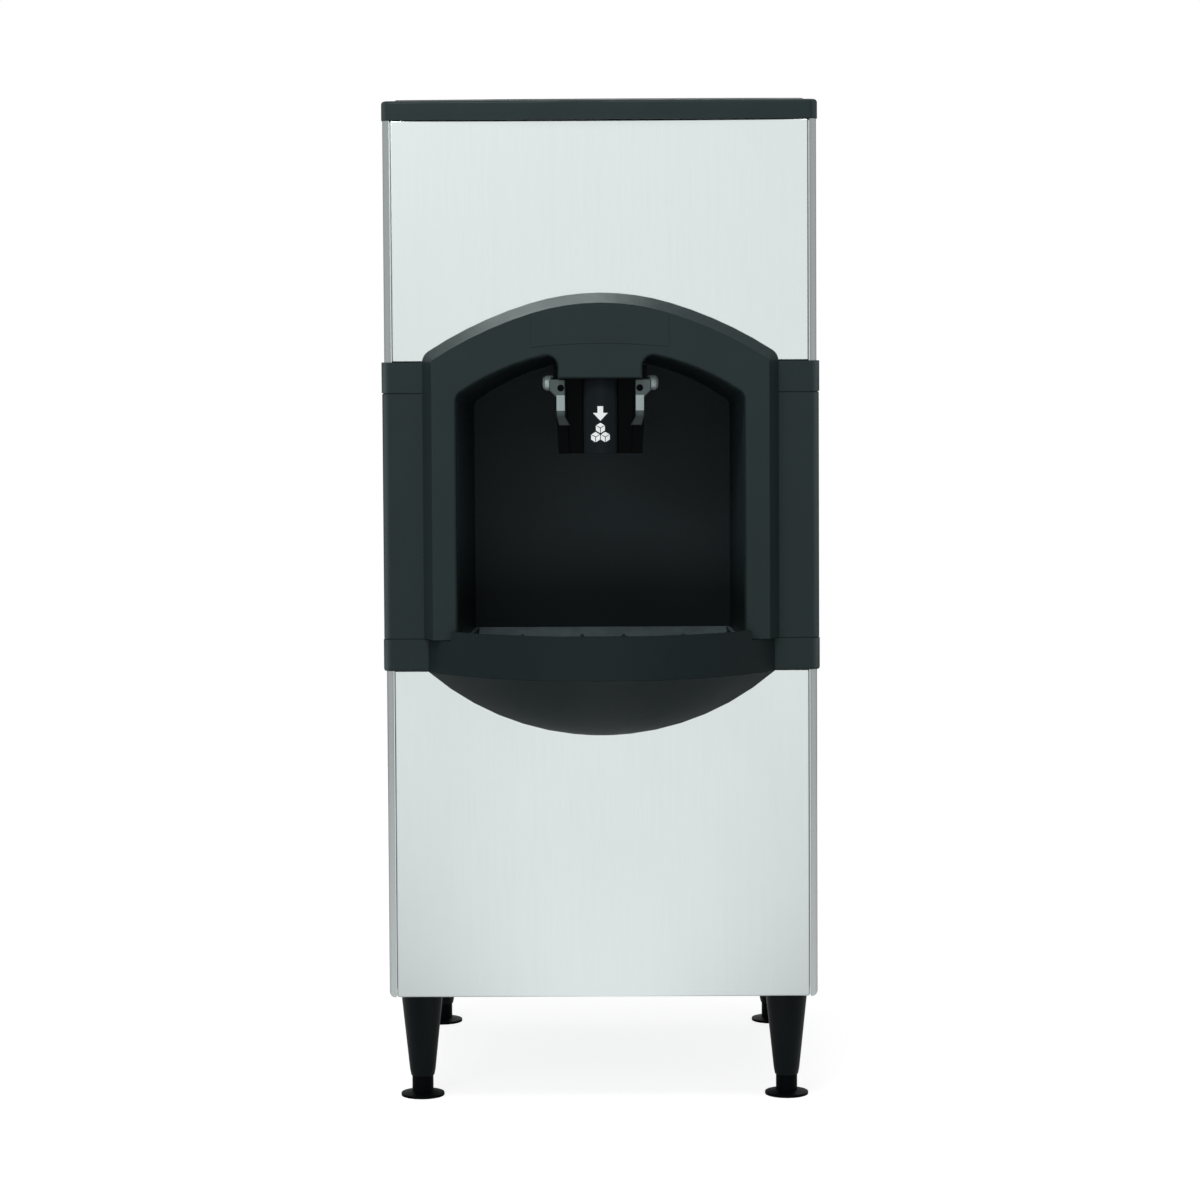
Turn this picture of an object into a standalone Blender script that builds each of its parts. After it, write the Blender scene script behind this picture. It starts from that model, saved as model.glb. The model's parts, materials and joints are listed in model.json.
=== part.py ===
"""Floor-standing ice dispenser: a bin and paddle wheel drop ice down a duct to a rocking push chute.

Metres, +Z up. The front faces -Y, and the origin is on the floor under the middle of the whole object.
Each piece has its own function, and its own sizes stand just above it.
"""

import math

import bmesh
import bpy
from mathutils import Matrix, Vector

mm = 0.001

# Overall sizes
overall_width = 558.8 * mm
overall_depth = 800.0 * mm
leg_height = 150.0 * mm
lower_panel_height = 422.3 * mm
lower_trim_height = 41.0 * mm
middle_band_height = 314.1 * mm
upper_trim_height = 39.7 * mm
upper_panel_height = 307.0 * mm
lid_height = 27.0 * mm
tray_reach = 125.0 * mm  # how far the drip tray stands out from the front panels

# Walls and gaps that several pieces share
seat_gap = 0.3 * mm
sheet_metal = 1.2 * mm
rail_sheet = 2.0 * mm
moulded_wall = 3.0 * mm
band_gap = 0.4 * mm  # behind the moulded band
overrun = 5.0 * mm  # how far every cutter runs past what it cuts
hinge_knuckle_r = 4.0 * mm

# Heights
body_z = leg_height
band_z = body_z + lower_panel_height
low_seam_z = band_z + lower_trim_height
high_seam_z = low_seam_z + middle_band_height
band_top_z = high_seam_z + upper_trim_height
lid_z = band_top_z + upper_panel_height

# Plan positions
front_y = -overall_depth / 2 + tray_reach
back_skin_y = overall_depth / 2 - 2 * hinge_knuckle_r - seat_gap
back_y = back_skin_y - sheet_metal - seat_gap
cabinet_half = overall_width / 2 - moulded_wall - band_gap
inside_half = cabinet_half - sheet_metal - seat_gap

SMOOTH_ANGLE = math.radians(35)
SAME_POINT_SHARE = 1e-6  # of the overall width: points nearer than this are one point

# Colour, roughness and metallic value of each material
MATERIALS = {
    "stainless": ((0.74, 0.78, 0.78), 0.32, 1.0),
    "galvanised": ((0.55, 0.57, 0.58), 0.45, 1.0),
    "dark_plastic": ((0.028, 0.038, 0.040), 0.45, 0.0),
    "liner_plastic": ((0.014, 0.019, 0.022), 0.40, 0.0),
    "gloss_black": ((0.008, 0.010, 0.012), 0.18, 0.0),
    "grey_casting": ((0.30, 0.36, 0.36), 0.35, 0.0),
    "black_casting": ((0.010, 0.013, 0.014), 0.40, 0.0),
    "bin_plastic": ((0.72, 0.74, 0.74), 0.50, 0.0),
    "white_nylon": ((0.80, 0.80, 0.78), 0.40, 0.0),
    "bronze": ((0.45, 0.28, 0.12), 0.35, 1.0),
    "rubber": ((0.02, 0.02, 0.02), 0.80, 0.0),
    "drain_plastic": ((0.45, 0.46, 0.46), 0.50, 0.0),
    "motor_paint": ((0.06, 0.07, 0.08), 0.50, 0.3),
}


def material(name):
    """The named Principled material, made on first use."""
    found = bpy.data.materials.get(name)
    if found:
        return found
    colour, roughness, metallic = MATERIALS[name]
    made = bpy.data.materials.new(name)
    made.use_nodes = True
    shader = made.node_tree.nodes["Principled BSDF"]
    shader.inputs["Base Color"].default_value = (*colour, 1.0)
    shader.inputs["Roughness"].default_value = roughness
    shader.inputs["Metallic"].default_value = metallic
    made.diffuse_color = (*colour, 1.0)
    return made


def at(axis, u, v, w):
    """The point (u, v) of a section drawn across an axis, w along that axis."""
    return {"X": Vector((w, u, v)), "Y": Vector((u, w, v)), "Z": Vector((u, v, w))}[axis]


def make_object(name, bm, finish, origin=(0.0, 0.0, 0.0), parent=None):
    """A named object from a bmesh drawn in world coordinates, with its origin moved to the given point."""
    mesh = bpy.data.meshes.new(name)
    bm.transform(Matrix.Translation(-Vector(origin)))
    bm.to_mesh(mesh)
    bm.free()
    mesh.shade_smooth()
    mesh.set_sharp_from_angle(angle=SMOOTH_ANGLE)
    obj = bpy.data.objects.new(name, mesh)
    bpy.context.scene.collection.objects.link(obj)
    obj.location = origin
    if finish:
        mesh.materials.append(material(finish))
    if parent:
        obj.location = Vector(origin) - parent.location
        obj.parent = parent
    return obj


def pivot(name, point):
    """An empty on a joint's axis, for the pieces that turn or slide together."""
    empty = bpy.data.objects.new(name, None)
    bpy.context.scene.collection.objects.link(empty)
    empty.location = point
    return empty


def loft(loops, crease=None):
    """A closed bmesh through closed loops of equal length. A crease splits the last cap in two."""
    bm = bmesh.new()
    rows = [[bm.verts.new(p) for p in loop] for loop in loops]
    count = len(rows[0])
    for low, high in zip(rows, rows[1:]):
        for i in range(count):
            j = (i + 1) % count
            bm.faces.new((low[i], low[j], high[j], high[i]))
    bm.faces.new(list(reversed(rows[0])))
    if crease:
        first, last = sorted(crease)
        bm.faces.new(rows[-1][first : last + 1])
        bm.faces.new(rows[-1][last:] + rows[-1][: first + 1])
    else:
        bm.faces.new(rows[-1])
    bmesh.ops.recalc_face_normals(bm, faces=bm.faces)
    return bm


def prism(outline, axis, start, end):
    """An outline drawn across an axis, extruded along it."""
    return loft([[at(axis, u, v, w) for u, v in outline] for w in (start, end)])


def box(low, high):
    """A block between two corners."""
    outline = [(low[0], low[1]), (high[0], low[1]), (high[0], high[1]), (low[0], high[1])]
    return prism(outline, "Z", low[2], high[2])


def ring_points(radius, count, centre=(0.0, 0.0)):
    """A circle of points about a centre."""
    turn = 2 * math.pi / count
    return [
        (centre[0] + radius * math.cos(i * turn), centre[1] + radius * math.sin(i * turn))
        for i in range(count)
    ]


def rod(axis, centre, radius, start, end, sides=24):
    """A cylinder along an axis, about a centre given across it."""
    return prism(ring_points(radius, sides, centre), axis, start, end)


def turned(profile, axis, centre, sides=24):
    """A turned solid. The profile is (radius, place along the axis) pairs, with radii above zero."""
    return loft([[at(axis, u, v, w) for u, v in ring_points(r, sides, centre)] for r, w in profile])


def arc(centre, radius, first, last, steps):
    """Points on an arc. Angles start at +v and grow towards +u."""
    found = []
    for i in range(steps + 1):
        a = first + (last - first) * i / steps
        found.append((centre[0] + radius * math.sin(a), centre[1] + radius * math.cos(a)))
    return found


def mirrored(half):
    """A whole outline from its right half, which runs from the middle outwards."""
    left = [(-u, v) for u, v in reversed(half) if abs(u) > SAME_POINT_SHARE * overall_width]
    return left + half


def rounded_rectangle(low, high, radius, steps=3):
    """A rectangle with round corners."""
    (x0, y0), (x1, y1) = low, high
    quarter = math.pi / 2
    points = arc((x1 - radius, y1 - radius), radius, quarter, 0.0, steps)
    points += arc((x0 + radius, y1 - radius), radius, 0.0, -quarter, steps)
    points += arc((x0 + radius, y0 + radius), radius, -quarter, -2 * quarter, steps)
    points += arc((x1 - radius, y0 + radius), radius, 2 * quarter, quarter, steps)
    return points


def boolean(obj, bm, operation):
    """Cuts or joins a bmesh to an object through a hidden helper."""
    count = len(obj.modifiers)
    helper = make_object(f"{obj.name}_{operation.lower()}_{count}", bm, None)
    helper.hide_render = True
    helper.display_type = "WIRE"
    modifier = obj.modifiers.new(f"{operation.lower()}_{count}", "BOOLEAN")
    modifier.operation = operation
    modifier.object = helper
    modifier.solver = "EXACT"
    return obj


def cut(obj, bm):
    return boolean(obj, bm, "DIFFERENCE")


def join(obj, bm):
    return boolean(obj, bm, "UNION")


def round_edges(obj, width, segments=2):
    """Rounds the sharp edges of an object."""
    modifier = obj.modifiers.new("rounding", "BEVEL")
    modifier.width = width
    modifier.segments = segments
    modifier.limit_method = "ANGLE"
    modifier.angle_limit = math.radians(50)
    return obj


def sweep(path, x, radius, sides=10):
    """A round tube along (y, z) points in the plane at one x."""
    loops = []
    for i, (y, z) in enumerate(path):
        before, after = path[max(i - 1, 0)], path[min(i + 1, len(path) - 1)]
        along = Vector((after[0] - before[0], after[1] - before[1])).normalized()
        across = Vector((along.y, -along.x))
        loop = []
        for u, v in ring_points(radius, sides):
            loop.append(Vector((x + u, y + across.x * v, z + across.y * v)))
        loops.append(loop)
    return loft(loops)


# Side panels: folded stainless sheets whose round front corners make the bright edge strips

corner_strip = 9.2 * mm  # width of the round strip seen from the front
side_return = 18.0 * mm
foot_round = 6.0 * mm  # the rounding of the lower front corner
foot_round_fade = 30.0 * mm
strip_flat = 0.6 * mm
strip_x = cabinet_half - corner_strip
foot_inset = min(foot_round, corner_strip - strip_flat - 2 * sheet_metal)


def side_section(inset, z):
    """The folded section of the right side panel at one height."""
    radius = corner_strip - inset - strip_flat
    centre = (cabinet_half - inset - radius, front_y + radius)
    half_turn = math.pi
    outer = [(strip_x, front_y)]
    outer += arc(centre, radius, half_turn, half_turn / 2, 4)
    inner = arc(centre, radius - sheet_metal, half_turn / 2, half_turn, 4)
    inner += [(strip_x, front_y + sheet_metal)]
    fades = []
    for step in range(4):
        share = step / 3
        fade = inset * (1 - share * share * (3 - 2 * share))
        fades.append((cabinet_half - fade, front_y + foot_round_fade * (1 + share)))
    rear = [
        (cabinet_half, back_y),
        (cabinet_half - side_return, back_y),
        (cabinet_half - side_return, back_y - sheet_metal),
        (cabinet_half - sheet_metal, back_y - sheet_metal),
    ]
    back_again = [(x - sheet_metal, y) for x, y in reversed(fades)]
    return [Vector((x, y, z)) for x, y in outer + fades + rear + back_again + inner]


def side_panel(name, side):
    levels = []
    for step in range(5):
        a = math.pi / 2 * step / 4
        levels.append((foot_inset * (1 - math.sin(a)), body_z + foot_inset * (1 - math.cos(a))))
    levels.append((0.0, lid_z - seat_gap))
    bm = loft([side_section(inset, z) for inset, z in levels])
    if side < 0:
        bmesh.ops.scale(bm, vec=(-1, 1, 1), verts=bm.verts)
        bmesh.ops.recalc_face_normals(bm, faces=bm.faces)
    make_object(name, bm, "stainless")


# Alcove opening and arched bezel: outlines that the bezel, band, liner and upper panel share

bezel_margin = 49.0 * mm  # from the cabinet's side to the bezel's
bezel_side = 44.0 * mm  # from the bezel's side to the opening
bezel_stand = 30.0 * mm  # from the front panels to the bezel's face
bezel_rise = 87.5 * mm  # from the top of the band to the crown of the arch
bezel_bevel = 12.9 * mm
bezel_lift = 0.9 * mm  # above the tray's shoulders
crown_radius = 308.0 * mm
crown_half = 90.0 * mm
flank_radius = 514.0 * mm
bezel_corner_ease = 1.1 * mm  # the corner's radius inside the skin, at the face

opening_radius = 319.0 * mm
opening_drop = 72.1 * mm  # from the crown of the bezel to the crown of the opening
opening_corner_r = 13.0 * mm
opening_edge_r = 4.0 * mm
hood_half = 53.8 * mm
hood_drop = 36.8 * mm  # from the crown of the opening to the hood's lower edge
hood_corner_r = 14.0 * mm
hood_lip = 6.0 * mm
hood_lip_height = 24.0 * mm

band_trim_proud = 0.6 * mm
bezel_half = cabinet_half - bezel_margin
bezel_corner_r = bezel_bevel + moulded_wall + bezel_corner_ease
bezel_crown_z = band_top_z + bezel_rise
opening_half = bezel_half - bezel_side
opening_apex_z = bezel_crown_z - opening_drop
opening_centre = (0.0, opening_apex_z - opening_radius)
opening_corner_x = opening_half - opening_corner_r
shoulder_rise = math.sqrt((opening_radius - opening_corner_r) ** 2 - opening_corner_x**2)
opening_shoulder_z = opening_centre[1] + shoulder_rise
hood_z = opening_apex_z - hood_drop
bezel_foot_z = low_seam_z + bezel_lift
bezel_face_y = front_y - bezel_stand
trim_y = front_y - band_gap - moulded_wall - band_trim_proud
bezel_base_y = trim_y - seat_gap


def bezel_outline(inset):
    """The right half of the bezel's outer edge, from the crown to the foot."""
    crown_centre = Vector((0.0, bezel_crown_z - crown_radius))
    crown_angle = math.asin(crown_half / crown_radius)
    way = Vector((math.sin(crown_angle), math.cos(crown_angle)))
    flank_centre = crown_centre + way * (crown_radius - flank_radius)
    corner_x = bezel_half - bezel_corner_r
    across = corner_x - flank_centre.x
    up = math.sqrt((flank_radius - bezel_corner_r) ** 2 - across**2)
    corner = (corner_x, flank_centre.y + up)
    corner_angle = math.atan2(across, up)
    points = arc(crown_centre, crown_radius - inset, 0.0, crown_angle, 4)
    points += arc(flank_centre, flank_radius - inset, crown_angle, corner_angle, 5)[1:]
    points += arc(corner, bezel_corner_r - inset, corner_angle, math.pi / 2, 4)[1:]
    points.append((bezel_half - inset, bezel_foot_z))
    return points


def opening_outline(grow, foot_z, hood=False):
    """The right half of the alcove opening's edge. A positive grow moves it outwards."""
    side_angle = math.atan2(opening_corner_x, shoulder_rise)
    corner = (opening_corner_x, opening_shoulder_z)
    points = []
    start_angle = 0.0
    if hood:
        fillet_x = hood_half + hood_corner_r
        rise = math.sqrt((opening_radius - hood_corner_r) ** 2 - fillet_x**2)
        start_angle = math.atan2(fillet_x, rise)
        fillet = (fillet_x, opening_centre[1] + rise)
        points = [(0.0, hood_z + grow), (hood_half - grow, hood_z + grow)]
        points += arc(fillet, hood_corner_r + grow, -math.pi / 2, start_angle, 5)
    top = arc(opening_centre, opening_radius + grow, start_angle, side_angle, 6)
    points += top[1:] if hood else top
    points += arc(corner, opening_corner_r + grow, side_angle, math.pi / 2, 3)[1:]
    points.append((opening_half + grow, foot_z))
    return points


def bezel():
    """The arched bezel with its hood: a moulded skin, open at the back."""
    outer = []
    run_on_y = bezel_base_y + overrun
    for inset, y in ((0.0, run_on_y), (0.0, bezel_base_y), (bezel_bevel, bezel_face_y)):
        outer.append([at("Y", u, v, y) for u, v in mirrored(bezel_outline(inset))])
    inner = []
    for step in range(4):
        a = math.pi / 2 * step / 3
        edge = mirrored(opening_outline(opening_edge_r * (1 - math.sin(a)), bezel_foot_z, True))
        y = bezel_face_y + opening_edge_r * (1 - math.cos(a))
        inner.append([at("Y", u, v, y) for u, v in edge])
    inner.append([Vector((p.x, run_on_y, p.z)) for p in inner[-1]])
    bm = bmesh.new()
    rows = [[bm.verts.new(p) for p in rail] for rail in outer + inner]
    for low, high in (*zip(rows[:3], rows[1:3]), *zip(rows[3:], rows[4:])):
        for i in range(len(low) - 1):
            bm.faces.new((low[i], low[i + 1], high[i + 1], high[i]))
    face = bm.faces.new(list(reversed(rows[2])) + rows[3])
    bmesh.ops.recalc_face_normals(bm, faces=bm.faces)
    if face.normal.y > 0:
        bmesh.ops.reverse_faces(bm, faces=bm.faces)
    obj = make_object("bezel", bm, "dark_plastic")
    solid = obj.modifiers.new("wall", "SOLIDIFY")
    solid.thickness = moulded_wall
    solid.offset = -1.0
    solid.use_even_offset = True
    low = (-overall_width, bezel_base_y, 0.0)
    cut(obj, box(low, (overall_width, back_y, lid_z)))
    relief_half = hood_half + seat_gap
    low = (-relief_half, bezel_face_y + hood_lip, hood_z - overrun)
    high = (relief_half, bezel_base_y + overrun, hood_z + hood_lip_height)
    cut(obj, box(low, high))


# Front panels: shallow folded trays of stainless sheet

front_panel_gap = 1.2 * mm
panel_return = 14.0 * mm
panel_edge_round = 2.0 * mm
notch_margin = 25.0 * mm  # clear height between the alcove opening and the upper panel
panel_half = strip_x - front_panel_gap
panel_back_y = front_y + panel_return


def front_panel(name, low_z, high_z):
    low = (-panel_half, front_y, low_z)
    high = (panel_half, panel_back_y, high_z)
    obj = make_object(name, box(low, high), "stainless")
    round_edges(obj, panel_edge_round)
    inner_low = (low[0] + sheet_metal, front_y + sheet_metal, low_z + sheet_metal)
    inner_high = (high[0] - sheet_metal, high[1] + overrun, high_z - sheet_metal)
    return cut(obj, box(inner_low, inner_high))


def front_panels():
    front_panel("lower_front_panel", body_z, band_z - seat_gap)
    upper = front_panel("upper_front_panel", band_top_z + seat_gap, lid_z - seat_gap)
    reach = opening_half + notch_margin
    radius = opening_radius + notch_margin
    half = arc(opening_centre, radius, 0.0, math.asin(reach / radius), 8)
    half.append((reach, band_z))
    cut(upper, prism(mirrored(half), "Y", front_y - overrun, panel_back_y + overrun))


# Band: the dark moulded panel that wraps the front corners, with an arch above and the opening cut out

band_wrap = 34.0 * mm
band_corner_r = 10.0 * mm
band_foot_round = 4.0 * mm
seam_width = 1.6 * mm
seam_depth = 1.0 * mm
band_arch_inset = 3.0 * mm
band_opening_grow = 6.0 * mm


def band_section(proud, z):
    """The section of the band at one height: a wide U, open to the back."""
    inner_half = cabinet_half + band_gap
    inner_y = front_y - band_gap
    half = inner_half + moulded_wall - band_trim_proud + proud
    outer_y = inner_y - moulded_wall - proud
    half_turn = math.pi
    outer = arc((half - band_corner_r, outer_y + band_corner_r), band_corner_r, half_turn, half_turn / 2, 4)
    outer.append((half, front_y + band_wrap))
    bend = (inner_half - corner_strip, inner_y + corner_strip)
    inner = [(inner_half, front_y + band_wrap)]
    inner += arc(bend, corner_strip, half_turn / 2, half_turn, 4)
    right = outer + inner
    return [Vector((u, v, z)) for u, v in right + [(-u, v) for u, v in reversed(right)]]


def band():
    groove = seam_width / 2
    sunk = -seam_depth
    levels = []
    for step in range(4):
        a = math.pi / 2 * step / 3
        proud = band_trim_proud - moulded_wall / 2 * (1 - math.sin(a))
        levels.append((proud, band_z + band_foot_round * (1 - math.cos(a))))
    levels += [
        (band_trim_proud, low_seam_z - groove),
        (sunk, low_seam_z - groove / 2),
        (sunk, low_seam_z + groove / 2),
        (0.0, low_seam_z + groove),
        (0.0, high_seam_z - groove),
        (sunk, high_seam_z - groove / 2),
        (sunk, high_seam_z + groove / 2),
        (band_trim_proud, high_seam_z + groove),
        (band_trim_proud, band_top_z),
    ]
    obj = make_object("band", loft([band_section(*level) for level in levels]), "dark_plastic")
    plate_back = front_y - band_gap
    plate_front = plate_back - moulded_wall
    join(obj, prism(mirrored(bezel_outline(band_arch_inset)), "Y", plate_front, plate_back))
    hole = mirrored(opening_outline(band_opening_grow, band_z - overrun))
    cut(obj, prism(hole, "Y", trim_y - overrun, plate_back + overrun))


# Push chute: its sizes come first, because the alcove's slot and the duct are fitted to it

pivot_setback = 25.0 * mm  # from the front panels to the pivot
pivot_drop = 5.9 * mm  # from the hood's lower edge to the pivot
chute_top_half = 59.6 * mm
chute_bottom_half = 53.2 * mm
chute_above = 22.0 * mm
chute_below = 89.6 * mm
chute_front = 30.0 * mm  # from the pivot to the pocket floors
chute_back = 34.0 * mm
chute_back_rise = 12.0 * mm
chute_flange = 6.0 * mm  # how far the side flanges stand in front of the pockets
chute_flange_width = 14.0 * mm
column_half = 22.5 * mm
column_stand = 13.0 * mm
pin_r = 3.0 * mm

pivot_y = front_y + pivot_setback
pivot_z = hood_z - pivot_drop
chute_top_z = pivot_z + chute_above
chute_low_z = pivot_z - chute_below


def chute_half(z):
    """Half the outer width of the push chute at a height."""
    share = (chute_top_z - z) / (chute_above + chute_below)
    return chute_top_half + (chute_bottom_half - chute_top_half) * share


def chute_section(half, z):
    """The outer section of the push chute: a half-round column between two pockets."""
    right = []
    for i in range(6):
        a = math.pi / 2 * i / 5
        right.append((column_half * math.sin(a), -chute_front - column_stand * math.cos(a)))
    right += [
        (half - chute_flange_width, -chute_front),
        (half - chute_flange_width, -chute_front - chute_flange),
        (half, -chute_front - chute_flange),
        (half, chute_back),
    ]
    left = [(-u, v) for u, v in reversed(right[1:])]
    return [Vector((u, pivot_y + v, z)) for u, v in right + left]


def pin_hole():
    """A bore through everything on the chute's pivot axis."""
    return rod("X", (pivot_y, pivot_z), pin_r + seat_gap, -cabinet_half, cabinet_half, 16)


def push_chute(parent):
    bm = loft([chute_section(chute_half(z), z) for z in (chute_low_z, chute_top_z)])
    obj = make_object("push_chute", bm, "gloss_black", parent.location, parent)
    inner_front = pivot_y - chute_front + moulded_wall
    inner_back = pivot_y + chute_back - moulded_wall
    loops = []
    for z in (chute_low_z - overrun, chute_top_z + overrun):
        half = chute_half(z) - moulded_wall
        corners = ((-half, inner_front), (half, inner_front), (half, inner_back), (-half, inner_back))
        loops.append([Vector((u, v, z)) for u, v in corners])
    cut(obj, loft(loops))
    low = (-cabinet_half, pivot_y + chute_back / 2, pivot_z + chute_back_rise)
    high = (cabinet_half, pivot_y + chute_back + overrun, chute_top_z + overrun)
    cut(obj, box(low, high))
    cut(obj, pin_hole())


# Chute arms: castings with a round boss on the pivot, screwed to the front of the chute's flanges

boss_r = 9.0 * mm
boss_length = 11.5 * mm
boss_gap = 0.7 * mm
arm_thickness = 7.0 * mm
arm_width = 11.4 * mm
arm_lug = 4.5 * mm
arm_rise = 5.0 * mm
arm_drop = 54.0 * mm
arm_knee = 42.0 * mm
arm_shoulder = 18.0 * mm
arm_flare = 6.5 * mm
arm_round = 1.2 * mm
arm_screw_r = 3.0 * mm
arm_screw_drop = 6.0 * mm
screw_sink = 2.0 * mm
arm_lug_share = 0.85  # of the boss

arm_back_y = pivot_y - chute_front - chute_flange - seat_gap
arm_front_y = arm_back_y - arm_thickness
arm_outer_x = chute_half(pivot_z - arm_knee)
arm_screw_x = arm_outer_x - arm_width / 2
boss_x = chute_top_half + boss_gap


def chute_arm(name, side, parent):
    """A front bar on the chute's flange, a lug along the chute's side and the pivot boss."""
    inner = arm_outer_x - arm_width
    outline = [
        (boss_x + arm_lug, pivot_z + arm_rise),
        (inner, pivot_z + arm_rise),
        (inner, pivot_z - arm_knee),
        (inner - arm_flare, pivot_z - arm_drop),
        (arm_outer_x - arm_flare / 2, pivot_z - arm_drop),
        (arm_outer_x, pivot_z - arm_knee),
        (arm_outer_x, pivot_z - arm_shoulder),
        (boss_x + arm_lug, pivot_z - boss_r),
    ]
    bar = prism([(side * u, v) for u, v in outline], "Y", arm_front_y, arm_back_y)
    obj = make_object(name, bar, "grey_casting", parent.location, parent)
    round_edges(obj, arm_round, 1)
    lug_r = boss_r * arm_lug_share
    lug = [
        (arm_front_y + arm_round, pivot_z - lug_r),
        (pivot_y, pivot_z - lug_r),
        (pivot_y, pivot_z + lug_r),
        (arm_front_y + arm_round, pivot_z + arm_rise - arm_round),
    ]
    lug_ends = sorted((side * boss_x, side * (boss_x + arm_lug - arm_round)))
    join(obj, prism(lug, "X", *lug_ends))
    boss_ends = sorted((side * boss_x, side * (boss_x + boss_length)))
    join(obj, rod("X", (pivot_y, pivot_z), boss_r, *boss_ends, 20))
    cut(obj, pin_hole())
    centre = (side * arm_screw_x, pivot_z - arm_screw_drop)
    cut(obj, rod("Y", centre, arm_screw_r + seat_gap, arm_front_y - overrun, arm_back_y + overrun, 12))


def arm_screw(name, side, parent):
    centre = (side * arm_screw_x, pivot_z - arm_screw_drop)
    head_y = arm_front_y + screw_sink
    shank = rod("Y", centre, arm_screw_r, head_y, arm_back_y, 12)
    obj = make_object(name, shank, "gloss_black", parent.location, parent)
    cut(obj, rod("Y", centre, arm_screw_r / 2, head_y - overrun, head_y + screw_sink, 6))


# Bin: an insulated trough shaped round the paddle wheel, with a sloping floor over the alcove

alcove_depth = 230.0 * mm
bin_alcove_gap = 2.0 * mm
bin_wall = 18.0 * mm
bin_back_gap = 102.0 * mm  # from the bin's rear wall to the back of the cabinet
bin_side_gap = 18.0 * mm
bin_rim = 10.0 * mm
bin_rim_height = 5.0 * mm
bin_neck = 15.0 * mm  # how far the bin's walls rise inside the lid
rail_shelf = 15.0 * mm
trough_margin = 27.0 * mm  # from the bin's straight walls to the half-round trough
wheel_clear = 8.0 * mm
wheel_drop = 376.7 * mm  # from the underside of the lid to the wheel's axis
trough_shoulder = 80.0 * mm
outlet_half = 44.0 * mm
outlet_height = 52.0 * mm
outlet_drop = 46.0 * mm  # from the top of the wheel to the outlet's sill
hopper_rise = 55.0 * mm
hopper_clear = 2.6 * mm
bearing_r = 16.0 * mm
bearing_length = 14.0 * mm
shaft_r = 10.0 * mm
bin_drain_r = 9.0 * mm

alcove_back_y = front_y + alcove_depth
bin_front_y = alcove_back_y + moulded_wall + bin_alcove_gap
bin_back_y = back_y - bin_back_gap
bin_half = cabinet_half - bin_side_gap
hopper_front_y = panel_back_y + rail_shelf + 2 * seat_gap
axis_z = lid_z - wheel_drop
trough_r = bin_half - bin_wall - trough_margin
wheel_r = trough_r - wheel_clear
outlet_z = axis_z + wheel_r - outlet_drop
bin_top_z = lid_z + bin_neck
bin_drain_y = (bin_front_y + bin_back_y) / 2


def trough(offset, top):
    """The bin's section: upright walls over a half-round trough."""
    half = bin_half - bin_wall + offset
    right = [(half, top), (half, axis_z + trough_shoulder)]
    right += arc((0.0, axis_z), trough_r + offset, math.pi / 2, math.pi, 10)
    return right + [(-u, v) for u, v in reversed(right[:-1])]


def hopper(offset, top):
    """The side outline of the bin's part over the alcove. The offset moves its floor and front in."""
    rear_z = outlet_z + outlet_height + hopper_clear
    floor_lift = offset * math.hypot(1.0, hopper_rise / (bin_front_y - hopper_front_y))
    join_y = bin_front_y + bin_wall + overrun
    rear_z -= hopper_rise * (join_y - bin_front_y) / (bin_front_y - hopper_front_y)
    return [
        (hopper_front_y + offset, top),
        (hopper_front_y + offset, rear_z + hopper_rise + floor_lift),
        (join_y, rear_z + floor_lift),
        (join_y, top),
    ]


def ice_bin():
    shell = prism(trough(bin_wall, bin_top_z), "Y", bin_front_y, bin_back_y)
    obj = make_object("ice_bin", shell, "bin_plastic")
    join(obj, prism(hopper(0.0, bin_top_z), "X", -bin_half, bin_half))
    low = (-bin_half - bin_rim, hopper_front_y - bin_rim, lid_z)
    high = (bin_half + bin_rim, bin_back_y + bin_rim, lid_z + bin_rim_height)
    join(obj, box(low, high))
    inner_half = bin_half - bin_wall
    cut(obj, prism(trough(0.0, bin_top_z + overrun), "Y", bin_front_y + bin_wall, bin_back_y - bin_wall))
    cut(obj, prism(hopper(bin_wall, bin_top_z + overrun), "X", -inner_half, inner_half))
    low = (-outlet_half, bin_front_y - overrun, outlet_z + moulded_wall)
    high = (outlet_half, bin_front_y + bin_wall + overrun, outlet_z + outlet_height - moulded_wall)
    cut(obj, box(low, high))
    seat = bearing_r + seat_gap
    front_seat = bin_front_y + bin_wall - bearing_length
    cut(obj, rod("Y", (0.0, axis_z), seat, front_seat, bin_front_y + bin_wall + overrun))
    cut(obj, rod("Y", (0.0, axis_z), seat, bin_back_y - bin_wall - overrun, bin_back_y + overrun))
    drain_low = axis_z - trough_r - bin_wall - overrun
    cut(obj, rod("Z", (0.0, bin_drain_y), bin_drain_r, drain_low, axis_z - trough_r + overrun, 12))


# Ice duct: the fixed passage from the bin's outlet down to the spout inside the push chute

spout_side_gap = 4.0 * mm  # between the spout and the push chute, each side
spout_front = 24.0 * mm
spout_back = 22.0 * mm
spout_drop = 12.0 * mm
spout_rise = 26.0 * mm
duct_height = 48.0 * mm
slot_gap = 1.0 * mm
duct_half = chute_half(pivot_z) - moulded_wall - spout_side_gap


def duct_outline(inset, run_on):
    """The side outline of the duct. The inset makes its hollow, which runs on past both ends."""
    rear = bin_front_y - seat_gap + run_on
    low = pivot_z - spout_drop - run_on
    return [
        (rear, outlet_z + inset),
        (pivot_y + spout_back - inset, pivot_z + spout_rise + inset),
        (pivot_y + spout_back - inset, low),
        (pivot_y - spout_front + inset, low),
        (pivot_y - spout_front + inset, pivot_z + spout_rise + duct_height / 2 - inset),
        (rear, outlet_z + outlet_height - inset),
    ]


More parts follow.
